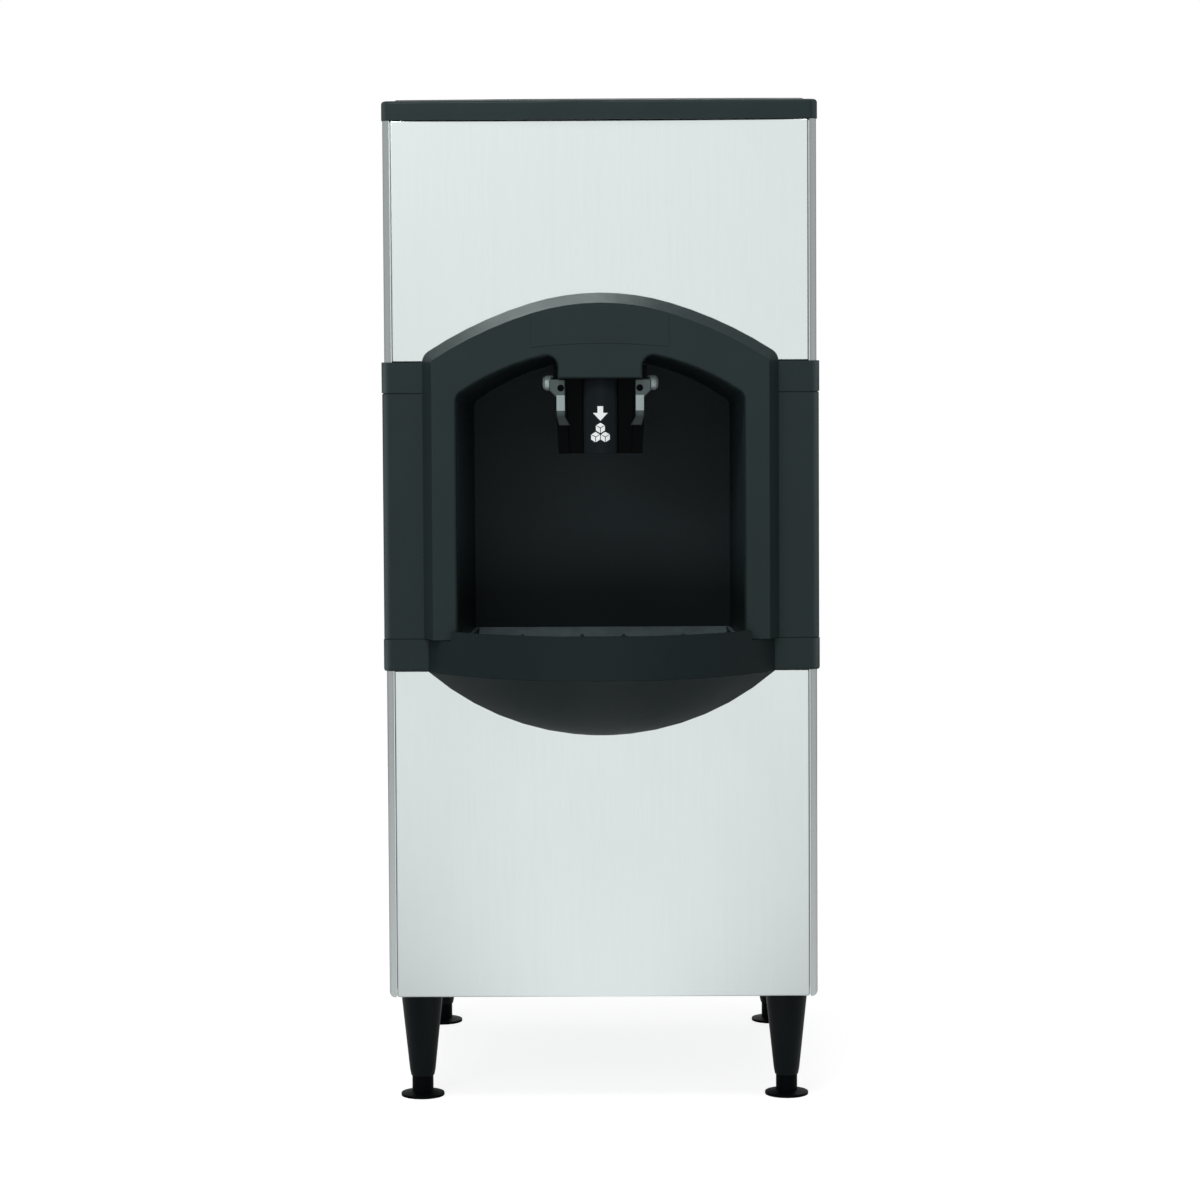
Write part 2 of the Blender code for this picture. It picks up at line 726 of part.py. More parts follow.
def ice_duct():
    obj = make_object("ice_duct", prism(duct_outline(0.0, 0.0), "X", -duct_half, duct_half), "liner_plastic")
    inner = duct_half - moulded_wall
    cut(obj, prism(duct_outline(moulded_wall, overrun), "X", -inner, inner))
    cut(obj, pin_hole())


def duct_under(y):
    """The height of the duct's underside at a depth."""
    start_y, start_z = pivot_y + spout_back, pivot_z + spout_rise
    share = (y - start_y) / (bin_front_y - seat_gap - start_y)
    return start_z + (outlet_z - start_z) * share


def duct_depth_at(z):
    """The depth at which the duct's underside reaches a height."""
    start_y, start_z = pivot_y + spout_back, pivot_z + spout_rise
    share = (z - start_z) / (outlet_z - start_z)
    return start_y + (bin_front_y - seat_gap - start_y) * share


pin_head_r = 5.5 * mm
pin_head = 2.0 * mm


def pivot_pin(name, side):
    """The fixed pin: its head is inside the spout, and it carries the chute and the arm's boss."""
    inner = duct_half - moulded_wall - seat_gap
    profile = [
        (pin_head_r, side * (inner - pin_head)),
        (pin_head_r, side * inner),
        (pin_r, side * inner),
        (pin_r, side * (boss_x + boss_length - seat_gap)),
    ]
    make_object(name, turned(profile, "X", (pivot_y, pivot_z), 16), "galvanised")


# Switch bracket, proximity switch, magnet and return spring behind the push chute

switch_room = 24.8 * mm  # from the chute's back to the bracket
bracket_clear = 6.0 * mm  # from the bracket to the rear end of the alcove's slot, at least
bracket_half = 42.0 * mm
bracket_drop = 48.0 * mm
bracket_flange = 13.0 * mm
switch_width, switch_depth, switch_height = 18.0 * mm, 9.0 * mm, 14.0 * mm
magnet_width, magnet_depth, magnet_height = 12.0 * mm, 5.0 * mm, 12.0 * mm
sensor_x = -22.0 * mm
sensor_drop = 34.0 * mm
spring_x = 24.0 * mm
spring_drop = 22.0 * mm
spring_r = 4.5 * mm
spring_wire = 0.6 * mm
spring_turns = 6

bracket_y = pivot_y + chute_back + switch_room
duct_clear_y = duct_depth_at(opening_apex_z + moulded_wall + slot_gap)
slot_back_y = max(duct_clear_y, bracket_y + bracket_clear)


def switch_bracket():
    """A folded plate whose sloping flange is held to the underside of the duct."""
    low = pivot_z - bracket_drop
    rear = bracket_y + sheet_metal
    lip = bracket_y - bracket_flange
    outline = [
        (bracket_y, low),
        (rear, low),
        (rear, duct_under(rear) - seat_gap),
        (lip, duct_under(lip) - seat_gap),
        (lip, duct_under(lip) - seat_gap - sheet_metal),
        (bracket_y, duct_under(bracket_y) - seat_gap - sheet_metal),
    ]
    make_object("switch_bracket", prism(outline, "X", -bracket_half, bracket_half), "galvanised")


def proximity_switch():
    middle = pivot_z - sensor_drop
    low = (sensor_x - switch_width / 2, bracket_y - seat_gap - switch_depth, middle - switch_height / 2)
    high = (sensor_x + switch_width / 2, bracket_y - seat_gap, middle + switch_height / 2)
    round_edges(make_object("proximity_switch", box(low, high), "dark_plastic"), sheet_metal, 1)


def chute_magnet(parent):
    middle = pivot_z - sensor_drop
    back = pivot_y + chute_back + seat_gap
    low = (sensor_x - magnet_width / 2, back, middle - magnet_height / 2)
    high = (sensor_x + magnet_width / 2, back + magnet_depth, middle + magnet_height / 2)
    make_object("chute_magnet", box(low, high), "galvanised", parent.location, parent)


def return_spring():
    """A helix from the chute's back wall to the bracket."""
    start = pivot_y + chute_back + seat_gap + spring_wire
    length = bracket_y - seat_gap - spring_wire - start
    steps = 8
    curve = bpy.data.curves.new("return_spring", "CURVE")
    curve.dimensions = "3D"
    curve.bevel_depth = spring_wire
    curve.bevel_resolution = 0
    curve.use_fill_caps = True
    spline = curve.splines.new("POLY")
    spline.points.add(spring_turns * steps)
    for i, place in enumerate(spline.points):
        a = 2 * math.pi * i / steps
        x = spring_x + spring_r * math.cos(a)
        z = pivot_z - spring_drop + spring_r * math.sin(a)
        place.co = (x, start + length * i / (spring_turns * steps), z, 1.0)
    curve.materials.append(material("galvanised"))
    obj = bpy.data.objects.new("return_spring", curve)
    bpy.context.scene.collection.objects.link(obj)


# Alcove liner: the deep tub behind the opening, with drafted walls and a creased back

alcove_draft = 11.5 * mm
alcove_ceiling_draft = 14.0 * mm
alcove_crease_drop = 31.1 * mm  # from the opening's shoulders to the crease in the back wall
alcove_back_lean = 16.0 * mm
liner_flange = 8.0 * mm
liner_foot_drop = 22.0 * mm
liner_foot_z = low_seam_z - liner_foot_drop
liner_front_y = front_y - band_gap + seat_gap


def liner_half(y):
    """Half the clear width of the alcove at a depth."""
    return opening_half - alcove_draft * (y - liner_front_y) / (alcove_back_y - liner_front_y)


def liner_loops(grow, overshoot):
    """The front and back sections of the alcove. The back one leans forward above its crease."""
    crease_z = opening_shoulder_z - alcove_crease_drop
    back_top = opening_apex_z - alcove_ceiling_draft
    foot = liner_foot_z - overshoot
    half = opening_outline(grow, foot)
    half.insert(-1, (opening_half + grow, crease_z))
    loops = [[at("Y", u, v, liner_front_y - overshoot) for u, v in mirrored(half)]]
    shrink = (opening_half - alcove_draft + grow) / (opening_half + grow)
    back = []
    for u, v in mirrored(half):
        z = v - alcove_ceiling_draft if v > crease_z else v
        lean = alcove_back_lean * max(0.0, z - crease_z) / (back_top - crease_z)
        back.append(Vector((u * shrink, alcove_back_y + grow - lean, z)))
    return loops + [back]


def alcove_liner():
    outer = liner_loops(moulded_wall, 0.0)
    last = len(outer[0]) - 2
    obj = make_object("alcove_liner", loft(outer, (1, last)), "liner_plastic")
    flange = mirrored(opening_outline(liner_flange, liner_foot_z))
    join(obj, prism(flange, "Y", liner_front_y, liner_front_y + moulded_wall))
    cut(obj, loft(liner_loops(0.0, overrun), (1, last)))
    slot_half = duct_half + slot_gap
    low = (-slot_half, liner_front_y - overrun, hood_z)
    high = (slot_half, slot_back_y, bezel_crown_z)
    cut(obj, box(low, high))


# Drip tray: the bowed sink under the alcove, with its lip, drain and grille

tray_inset = 5.5 * mm  # from the bezel's side to the tray's
tray_lip_gap = 3.8 * mm  # from the bezel's face to the lip's ends
tray_wall = 5.0 * mm
tray_lip_rise = 12.8 * mm
tray_floor_lift = 1.5 * mm  # from the top of the lower panel to the sink's underside
tray_skirt_drop = 1.3 * mm
tray_side_gap = 0.5 * mm
tray_rear_drop = 5.6 * mm
grille_seat_rise = 11.0 * mm  # from the sink's floor to the ledge that carries the grille
rear_ledge = 11.0 * mm
rear_ledge_height = 12.0 * mm
side_ledge = 8.0 * mm
front_ledge = 6.0 * mm
drain_r = 12.0 * mm
drain_setback = 115.0 * mm  # from the front panels to the sink's drain
bow_steps = 11  # facets on each half of the tray's bowed edge

tray_half = bezel_half - tray_inset
tray_front_y = bezel_base_y
tray_floor_z = band_z + tray_floor_lift
tray_lip_z = low_seam_z + tray_lip_rise
tray_back_y = alcove_back_y - tray_side_gap
tray_rear_z = low_seam_z - tray_rear_drop
basin_floor_z = tray_floor_z + tray_wall
grille_seat_z = basin_floor_z + grille_seat_rise
tray_bow = tray_front_y + overall_depth / 2
bow_r = (tray_half**2 + tray_bow**2) / (2 * tray_bow)
bow_centre_y = -overall_depth / 2 + bow_r
lip_setback = bow_centre_y - bezel_face_y + tray_lip_gap
tray_lip_half = tray_wall + math.sqrt((bow_r - 2 * tray_wall) ** 2 - lip_setback**2)
drain_y = front_y + drain_setback


def bow_points(half, inset, steps):
    """Points of the tray's bowed front from left to right, moved in by an inset."""
    radius = bow_r - inset
    last = math.asin(half / radius)
    found = []
    for i in range(steps + 1):
        a = -last + 2 * last * i / steps
        found.append((radius * math.sin(a), bow_centre_y - radius * math.cos(a)))
    return found


def rim_points(half):
    """Points of the tray's outer edge from left to right. Pieces that share the edge share its facets."""
    step = math.asin(tray_half / bow_r) / bow_steps
    last = math.asin(half / bow_r)
    inner = [i * step for i in range(1 - bow_steps, bow_steps) if abs(i) * step < last - step / 4]
    return [
        (bow_r * math.sin(a), bow_centre_y - bow_r * math.cos(a))
        for a in (-last, *inner, last)
    ]


def basin_outline(side, front, rear_y):
    """The sink's hollow, moved in at its sides and front."""
    points = bow_points(tray_lip_half - tray_wall - side, tray_wall + front, 16)
    wall = tray_side_gap + tray_wall + side
    mouth, rear = liner_half(tray_front_y) - wall, liner_half(rear_y) - wall
    return points + [(mouth, tray_front_y), (rear, rear_y), (-rear, rear_y), (-mouth, tray_front_y)]


def drip_tray():
    """The sink: its rear runs into the alcove, and its front carries the bowed band and lip."""
    skirt_z = band_z - tray_skirt_drop
    shoulder_z = low_seam_z + seat_gap
    shell = prism(rim_points(tray_half), "Z", skirt_z, shoulder_z)
    obj = make_object("drip_tray", shell, "dark_plastic")
    mouth = liner_half(tray_front_y) - tray_side_gap
    rear = liner_half(tray_back_y) - tray_side_gap
    joint_y = tray_front_y - overrun
    tail = [(-mouth, joint_y), (mouth, joint_y), (rear, tray_back_y), (-rear, tray_back_y)]
    join(obj, prism(tail, "Z", tray_floor_z, tray_rear_z))
    outer = rim_points(tray_lip_half)
    inner = bow_points(tray_lip_half - tray_wall, 2 * tray_wall, 16)
    join(obj, prism(outer + list(reversed(inner)), "Z", basin_floor_z, tray_lip_z))
    ledge_z = tray_rear_z - rear_ledge_height
    foot_y = tray_back_y - tray_wall / 2 - rear_ledge
    top_y = tray_back_y - tray_wall / 2
    levels = [
        (side_ledge, front_ledge, foot_y - side_ledge, basin_floor_z),
        (side_ledge, front_ledge, foot_y - side_ledge, grille_seat_z),
        (0.0, 0.0, foot_y, grille_seat_z),
        (0.0, 0.0, foot_y, max(ledge_z, grille_seat_z + seat_gap)),
        (0.0, 0.0, top_y, tray_rear_z),
        (0.0, 0.0, top_y, tray_lip_z + overrun),
    ]
    loops = []
    for side, front, rear_y, z in levels:
        loops.append([Vector((u, v, z)) for u, v in basin_outline(side, front, rear_y)])
    cut(obj, loft(loops))
    cut(obj, rod("Z", (0.0, drain_y), drain_r, tray_floor_z - overrun, basin_floor_z + overrun))


# Tray cowl: the bowl-shaped cover under the tray, from its bowed edge to a round lower edge on the panel

cowl_drop = 82.5 * mm
cowl_swell_share = 0.75  # the power that swells the cowl's profile: 1 is straight
cowl_low_share = 0.004  # where the cowl's flat lowest edge begins


def cowl_loops(inset, rear_y, top_run):
    """Sections of the cowl from its lowest edge up, each a bowed front with a straight back."""
    top_z = band_z - tray_skirt_drop - seat_gap
    edge_r = (tray_half**2 + cowl_drop**2) / (2 * cowl_drop)
    rows = 7
    loops = []
    for row in range(rows + 1):
        share = cowl_low_share + (1 - cowl_low_share) * (row / rows) ** 2
        if inset:
            share = max(share, inset / cowl_drop * (1 + row / rows) / 2)
        half = math.sqrt(edge_r**2 - (edge_r - cowl_drop * share) ** 2) - inset
        reach = (front_y - seat_gap + overall_depth / 2) * share**cowl_swell_share - inset
        bow = (half**2 + reach**2) / (2 * reach)
        centre_y = front_y - seat_gap - reach + bow
        last = math.asin(min(half / bow, 1.0))
        z = top_z - cowl_drop * (1 - share) + (top_run if row == rows else 0.0)
        loop = []
        for i in range(15):
            a = -last + 2 * last * i / 14
            loop.append(Vector((bow * math.sin(a), centre_y - bow * math.cos(a), z)))
        loop += [Vector((half, rear_y, z)), Vector((-half, rear_y, z))]
        loops.append(loop)
    return loops


def tray_cowl():
    rear_y = front_y - seat_gap
    obj = make_object("tray_cowl", loft(cowl_loops(0.0, rear_y + seat_gap / 2, 0.0)), "dark_plastic")
    cut(obj, loft(cowl_loops(moulded_wall, rear_y + overrun, overrun)))


# Drip grille: a slotted plate with four ribs that lifts off the sink's ledges

grille_gap = 1.0 * mm
grille_plate = 3.0 * mm
rib_width = 4.0 * mm
rib_height = 6.0 * mm
rib_inner = 28.0 * mm
rib_outer = 108.0 * mm
grille_border = 12.0 * mm
slot_width = 9.0 * mm
slot_pitch = 18.0 * mm
slot_rows = 3
slot_bridge = 14.0 * mm


def grille_reach(y):
    """Half the width of the grille at a depth."""
    inset = tray_wall + grille_gap
    if y < tray_front_y:
        across = math.sqrt(max((bow_r - inset) ** 2 - (bow_centre_y - y) ** 2, 0.0))
        return min(across, liner_half(tray_front_y) - tray_side_gap - inset)
    return liner_half(y) - tray_side_gap - inset


def drip_grille():
    bottom = grille_seat_z + seat_gap
    top = bottom + grille_plate
    rear = tray_back_y - tray_wall / 2 - rear_ledge - grille_gap
    outline = basin_outline(grille_gap, grille_gap, rear)
    plate = prism(outline, "Z", bottom, top)
    obj = make_object("drip_grille", plate, "dark_plastic", (0.0, 0.0, grille_seat_z))
    front = min(v for _, v in outline)
    ribs = [-rib_outer, -rib_inner, rib_inner, rib_outer]
    for x in ribs:
        across = (bow_r - tray_wall - grille_gap) ** 2 - (abs(x) + rib_width) ** 2
        low = (x - rib_width / 2, bow_centre_y - math.sqrt(across) + grille_gap, bottom)
        join(obj, box(low, (x + rib_width / 2, rear, top + rib_height)))
    row_length = (rear - front - 2 * grille_border + slot_bridge) / slot_rows
    for row in range(slot_rows):
        start = front + grille_border + row * row_length
        end = start + row_length - slot_bridge
        reach = min(grille_reach(start), grille_reach(end)) - grille_border
        count = int(reach / slot_pitch)
        for i in range(-count, count + 1):
            x = i * slot_pitch
            if min(abs(x - rib) for rib in ribs) < (slot_width + rib_width) / 2:
                continue
            low = (x - slot_width / 2, start, bottom - overrun)
            cut(obj, box(low, (x + slot_width / 2, end, top + overrun)))


# Drains: a strainer fitting in the sink, a pipe to the back of the cabinet and one from the bin

fitting_flange_r = 18.0 * mm
fitting_flange = 2.0 * mm
fitting_tail = 34.0 * mm
fitting_tail_r = 11.5 * mm
fitting_bore_r = 8.0 * mm
pipe_r = 11.0 * mm
pipe_bore_r = 8.0 * mm
pipe_bend_r = 45.0 * mm
outlet_rise = 62.0 * mm  # from the underside of the cabinet to the drain outlet
bin_pipe_r = 8.0 * mm
bin_pipe_bore_r = 6.0 * mm
bulkhead_r = 17.0 * mm
bulkhead_flange = 3.0 * mm
bulkhead_length = 26.0 * mm
drain_out_z = body_z + outlet_rise
drain_end_y = back_skin_y - bulkhead_length


def sink_drain():
    top = basin_floor_z + seat_gap + fitting_flange
    tail_z = basin_floor_z - fitting_tail
    profile = [
        (fitting_tail_r, tail_z),
        (fitting_tail_r, basin_floor_z + seat_gap),
        (fitting_flange_r, basin_floor_z + seat_gap),
        (fitting_flange_r, top),
    ]
    obj = make_object("sink_drain", turned(profile, "Z", (0.0, drain_y), 20), "galvanised")
    cut(obj, rod("Z", (0.0, drain_y), fitting_bore_r, tail_z - overrun, top + overrun, 12))


def drain_path(run_on):
    start_z = basin_floor_z - fitting_tail - seat_gap + run_on
    bend = (drain_y + pipe_bend_r, drain_out_z + pipe_bend_r)
    path = [(drain_y, start_z)]
    path += arc(bend, pipe_bend_r, -math.pi / 2, -math.pi, 6)
    path.append((drain_end_y - seat_gap + run_on, drain_out_z))
    return path


def drain_pipes():
    obj = make_object("drain_pipe", sweep(drain_path(0.0), 0.0, pipe_r), "drain_plastic")
    cut(obj, sweep(drain_path(overrun), 0.0, pipe_bore_r, 8))
    top = axis_z - trough_r - bin_wall - seat_gap
    bottom = drain_out_z + pipe_r + seat_gap
    centre = (0.0, bin_drain_y)
    obj = make_object("bin_drain_pipe", rod("Z", centre, bin_pipe_r, bottom, top, 10), "drain_plastic")
    cut(obj, rod("Z", centre, bin_pipe_bore_r, bottom + pipe_r, top + overrun, 8))
    profile = [
        (pipe_r, drain_end_y),
        (pipe_r, back_skin_y + seat_gap),
        (bulkhead_r, back_skin_y + seat_gap),
        (bulkhead_r, back_skin_y + seat_gap + bulkhead_flange),
    ]
    obj = make_object("drain_outlet", turned(profile, "Y", (0.0, drain_out_z), 20), "drain_plastic")
    cut(obj, rod("Y", (0.0, drain_out_z), pipe_bore_r, drain_end_y - overrun, overall_depth, 8))


# Base pan, back panel and the rails that tie the side panels together

base_lift = 9.0 * mm
base_wall = 28.0 * mm
rail_leg = 24.0 * mm
tie_rail_rise = 2.0 * mm
vent_half = 90.0 * mm
vent_height = 5.0 * mm
vent_pitch = 14.0 * mm
vent_count = 6
vent_top_drop = 90.0 * mm
inlet_inset = 126.0 * mm  # from the cabinet's side to the middle of the power inlet
inlet_rise = 70.0 * mm
inlet_half_width, inlet_half_height = 14.0 * mm, 11.0 * mm
inlet_x = inlet_inset - cabinet_half
base_z = body_z + base_lift
inlet_z = body_z + inlet_rise
rail_front_y = panel_back_y + seat_gap


def base_pan():
    low = (-inside_half, rail_front_y, base_z)
    high = (inside_half, back_y - sheet_metal - seat_gap, base_z + base_wall)
    obj = make_object("base_pan", box(low, high), "galvanised")
    inner_low = [v + rail_sheet for v in low]
    inner_high = (high[0] - rail_sheet, high[1] - rail_sheet, high[2] + overrun)
    cut(obj, box(inner_low, inner_high))


def back_panel():
    low = (-cabinet_half, back_skin_y - sheet_metal, body_z)
    high = (cabinet_half, back_skin_y, lid_z - seat_gap)
    obj = make_object("back_panel", box(low, high), "galvanised")
    for i in range(vent_count):
        middle = lid_z - vent_top_drop - i * vent_pitch
        slot_low = (-vent_half, low[1] - overrun, middle - vent_height / 2)
        cut(obj, box(slot_low, (vent_half, high[1] + overrun, middle + vent_height / 2)))
    cut(obj, rod("Y", (0.0, drain_out_z), pipe_r + seat_gap, low[1] - overrun, high[1] + overrun, 20))
    width, height = inlet_half_width + seat_gap, inlet_half_height + seat_gap
    hole_low = (inlet_x - width, low[1] - overrun, inlet_z - height)
    cut(obj, box(hole_low, (inlet_x + width, high[1] + overrun, inlet_z + height)))


def angle_rail(name, upright_y, shelf_y, top):
    """A folded angle across the cabinet: an upright leg and a level shelf at its top."""
    step = math.copysign(rail_sheet, shelf_y - upright_y)
    outline = [
        (upright_y, top),
        (upright_y, top - rail_leg),
        (upright_y + step, top - rail_leg),
        (upright_y + step, top - rail_sheet),
        (shelf_y, top - rail_sheet),
        (shelf_y, top),
    ]
    make_object(name, prism(outline, "X", -inside_half, inside_half), "galvanised")


def rails():
    rim_under = lid_z - seat_gap
    angle_rail("top_front_rail", rail_front_y, hopper_front_y - seat_gap, rim_under)
    angle_rail("bin_rear_rail", bin_back_y + seat_gap + rail_shelf, bin_back_y + seat_gap, rim_under)
    tie_z = opening_apex_z + notch_margin + tie_rail_rise + rail_leg
    angle_rail("tie_rail", rail_front_y, rail_front_y + rail_shelf, tie_z)
    angle_rail("tray_rail", rail_front_y, rail_front_y + rail_shelf, tray_floor_z - seat_gap)
    cradle_z = axis_z - trough_r - bin_wall - seat_gap
    cradle_y = bin_front_y + bin_wall
    angle_rail("bin_cradle", cradle_y, cradle_y + rail_shelf, cradle_z)


# Legs and feet

leg_inset = 36.0 * mm
front_leg_setback = 102.0 * mm
rear_leg_setback = 92.0 * mm
leg_top_r = 29.0 * mm
leg_foot_z = 27.0 * mm
leg_nose = 7.6 * mm  # height of the short steep taper at the leg's foot
leg_nose_wall = 1.0 * mm
leg_nose_flare = 1.6 * mm
leg_flange_r = 32.0 * mm
foot_stem_r = 14.0 * mm
foot_insert = 40.0 * mm
foot_pad_r = 28.5 * mm
foot_pad_rim = 3.5 * mm
foot_pad_dome = 2.5 * mm
foot_neck_flare = 2.0 * mm
leg_x = cabinet_half - leg_inset
leg_nose_r = foot_stem_r + seat_gap + leg_nose_wall


def leg(name, x, y):
    profile = [
        (leg_nose_r, leg_foot_z),
        (leg_nose_r + leg_nose_flare, leg_foot_z + leg_nose),
        (leg_top_r, body_z),
        (leg_flange_r, body_z),
        (leg_flange_r, base_z - seat_gap),
    ]
    obj = make_object(name, turned(profile, "Z", (x, y), 20), "black_casting", (x, y, body_z))
    bore_top = leg_foot_z + foot_insert + seat_gap
    cut(obj, rod("Z", (x, y), foot_stem_r + seat_gap, leg_foot_z - overrun, bore_top, 20))


def foot(name, x, y):
    profile = [
        (foot_pad_r, 0.0),
        (foot_pad_r, foot_pad_rim),
        (foot_stem_r + foot_neck_flare, foot_pad_rim + foot_pad_dome),
        (foot_stem_r, foot_pad_rim + foot_pad_dome),
        (foot_stem_r, leg_foot_z + foot_insert),
    ]
    make_object(name, turned(profile, "Z", (x, y), 20), "black_casting", (x, y, 0.0))


def legs_and_feet():
    places = {
        "front_left": (-leg_x, front_y + front_leg_setback),
        "front_right": (leg_x, front_y + front_leg_setback),
        "rear_left": (-leg_x, back_y - rear_leg_setback),
        "rear_right": (leg_x, back_y - rear_leg_setback),
    }
    for place, (x, y) in places.items():
        leg(f"{place}_leg", x, y)
        foot(f"{place}_foot", x, y)


# Drive: bearings, shaft, paddle wheel and agitator in the bin, with the gear motor behind it

wheel_depth_share = 0.315  # of the bin's inside length
wheel_end_gap = 4.0 * mm
wheel_disc = 4.0 * mm
wheel_hub_r = 30.0 * mm
paddle_count = 8
paddle_thickness = 5.0 * mm
agitator_short = 40.0 * mm  # how much shorter its arms are than the wheel's paddles
agitator_hub_r = 22.0 * mm
agitator_arm = 14.0 * mm
agitator_depth = 14.0 * mm
agitator_place_share = 0.357  # of the way from the wheel to the bin's rear wall
shaft_tail = 32.0 * mm
drive_plate_half = 85.0 * mm
gearbox_half_width = 46.0 * mm
gearbox_half_height = 58.0 * mm
gearbox_depth = 66.0 * mm
gearbox_round = 6.0 * mm
motor_r = 40.0 * mm
motor_length = 118.0 * mm
motor_nose_r = 24.0 * mm
motor_nose = 12.0 * mm
motor_bell = 10.0 * mm
bin_inner_y = bin_back_y - bin_wall
wheel_depth = wheel_depth_share * (bin_inner_y - bin_front_y - bin_wall)
wheel_front_y = bin_front_y + bin_wall + wheel_end_gap
drive_plate_y = bin_back_y + seat_gap
gearbox_y = drive_plate_y + rail_sheet + seat_gap


def star(hub_r, reach, count, width):
    """A hub with straight radial blades."""
    half_angle = math.asin(width / 2 / hub_r)
    along = math.sqrt(reach**2 - (width / 2) ** 2)
    points = []
    for i in range(count):
        turn = 2 * math.pi * i / count
        way = Vector((math.sin(turn), math.cos(turn)))
        side = Vector((math.cos(turn), -math.sin(turn)))
        points += [way * along - side * width / 2, way * along + side * width / 2]
        gap = 2 * math.pi / count
        points += arc((0.0, 0.0), hub_r, turn + half_angle, turn + gap - half_angle, 2)
    return [(u, v + axis_z) for u, v in points]


def bearing(name, start, end):
    obj = make_object(name, rod("Y", (0.0, axis_z), bearing_r, start, end), "bronze")
    cut(obj, rod("Y", (0.0, axis_z), shaft_r + seat_gap, start - overrun, end + overrun))


def wheel_parts(parent):
    centre = (0.0, axis_z)
    start = bin_front_y + bin_wall - bearing_length + seat_gap
    end = gearbox_y + shaft_tail
    make_object("drive_shaft", rod("Y", centre, shaft_r, start, end), "galvanised", parent.location, parent)
    wheel_end = wheel_front_y + wheel_depth
    bore = rod("Y", centre, shaft_r + seat_gap, bin_front_y, bin_back_y)
    outline = star(wheel_hub_r, wheel_r, paddle_count, paddle_thickness)
    blades = prism(outline, "Y", wheel_front_y, wheel_end)
    wheel = make_object("paddle_wheel", blades, "white_nylon", parent.location, parent)
    join(wheel, rod("Y", centre, wheel_r, wheel_end - wheel_disc, wheel_end, 48))
    cut(wheel, bore)
    start = wheel_end + agitator_place_share * (bin_inner_y - wheel_end)
    outline = star(agitator_hub_r, wheel_r - agitator_short, 3, agitator_arm)
    arms = prism(outline, "Y", start, start + agitator_depth)
    agitator = make_object("agitator", arms, "galvanised", parent.location, parent)
    cut(agitator, rod("Y", centre, shaft_r + seat_gap, bin_front_y, bin_back_y))


def drive():
    inner_wall = bin_front_y + bin_wall
    bearing("front_bearing", inner_wall - bearing_length + seat_gap, inner_wall)
    bearing("rear_bearing", bin_back_y - bearing_length, bin_back_y)
    spin = pivot("wheel_axis", (0.0, bin_front_y, axis_z))
    wheel_parts(spin)
    low = (-drive_plate_half, drive_plate_y, axis_z - drive_plate_half)
    high = (drive_plate_half, drive_plate_y + rail_sheet, axis_z + drive_plate_half)
    plate = make_object("drive_plate", box(low, high), "galvanised")
    cut(plate, rod("Y", (0.0, axis_z), bearing_r, low[1] - overrun, high[1] + overrun))
    low = (-gearbox_half_width, gearbox_y, axis_z - gearbox_half_height)
    high = (gearbox_half_width, gearbox_y + gearbox_depth, axis_z + gearbox_half_height)
    gearbox = round_edges(make_object("gearbox", box(low, high), "motor_paint"), gearbox_round)
    socket_end = gearbox_y + shaft_tail + seat_gap
    cut(gearbox, rod("Y", (0.0, axis_z), shaft_r + seat_gap, gearbox_y - overrun, socket_end))
    start = gearbox_half_width + seat_gap
    profile = [
        (motor_nose_r, start),
        (motor_nose_r, start + motor_nose),
        (motor_r, start + motor_nose),
        (motor_r, start + motor_length - motor_bell),
        (motor_r - motor_bell, start + motor_length),
    ]
    centre = (gearbox_y + motor_r + seat_gap, axis_z)
    make_object("drive_motor", turned(profile, "X", centre), "motor_paint")


# Control box and power inlet

control_inset = 146.0 * mm  # from the cabinet's side to the middle of the control box
control_width, control_depth, control_height = 150.0 * mm, 90.0 * mm, 110.0 * mm
control_back_gap = 24.0 * mm
inlet_depth = 22.0 * mm
inlet_flange = 2.0 * mm
inlet_border = 5.0 * mm
inlet_shell = 2.0 * mm
inlet_pin = 1.6 * mm
inlet_pin_shares = ((-0.5, -0.2), (0.5, -0.2), (0.0, 0.35))  # of the inlet's half width and half height
control_x = cabinet_half - control_inset


def control_box():
    back = back_y - sheet_metal - control_back_gap
    low = (control_x - control_width / 2, back - control_depth, base_z + rail_sheet + seat_gap)
    high = (control_x + control_width / 2, back, low[2] + control_height)
    round_edges(make_object("control_box", box(low, high), "dark_plastic"), sheet_metal, 1)


def power_inlet():
    """The appliance inlet in the back panel: a flanged shell with three pins."""
    inner_y = back_skin_y - inlet_depth
    flange_y = back_skin_y + seat_gap
    low = (inlet_x - inlet_half_width, inner_y, inlet_z - inlet_half_height)
    high = (inlet_x + inlet_half_width, flange_y + inlet_flange, inlet_z + inlet_half_height)
    obj = make_object("power_inlet", box(low, high), "gloss_black")
    flange_low = (low[0] - inlet_border, flange_y, low[2] - inlet_border)
    flange_high = (high[0] + inlet_border, flange_y + inlet_flange, high[2] + inlet_border)
    join(obj, box(flange_low, flange_high))
    cut_low = [v + inlet_shell for v in low]
    cut_high = (high[0] - inlet_shell, high[1] + overrun, high[2] - inlet_shell)
    cut(obj, box(cut_low, cut_high))
    for x_share, z_share in inlet_pin_shares:
        x, z = inlet_x + x_share * inlet_half_width, inlet_z + z_share * inlet_half_height
        pin_low = (x - inlet_pin, inner_y + inlet_shell / 2, z - inlet_pin)
        join(obj, box(pin_low, (x + inlet_pin, back_skin_y, z + inlet_pin)))


# Lid: the moulded cap with a bowed front and a low crown, its gasket and its two hinges

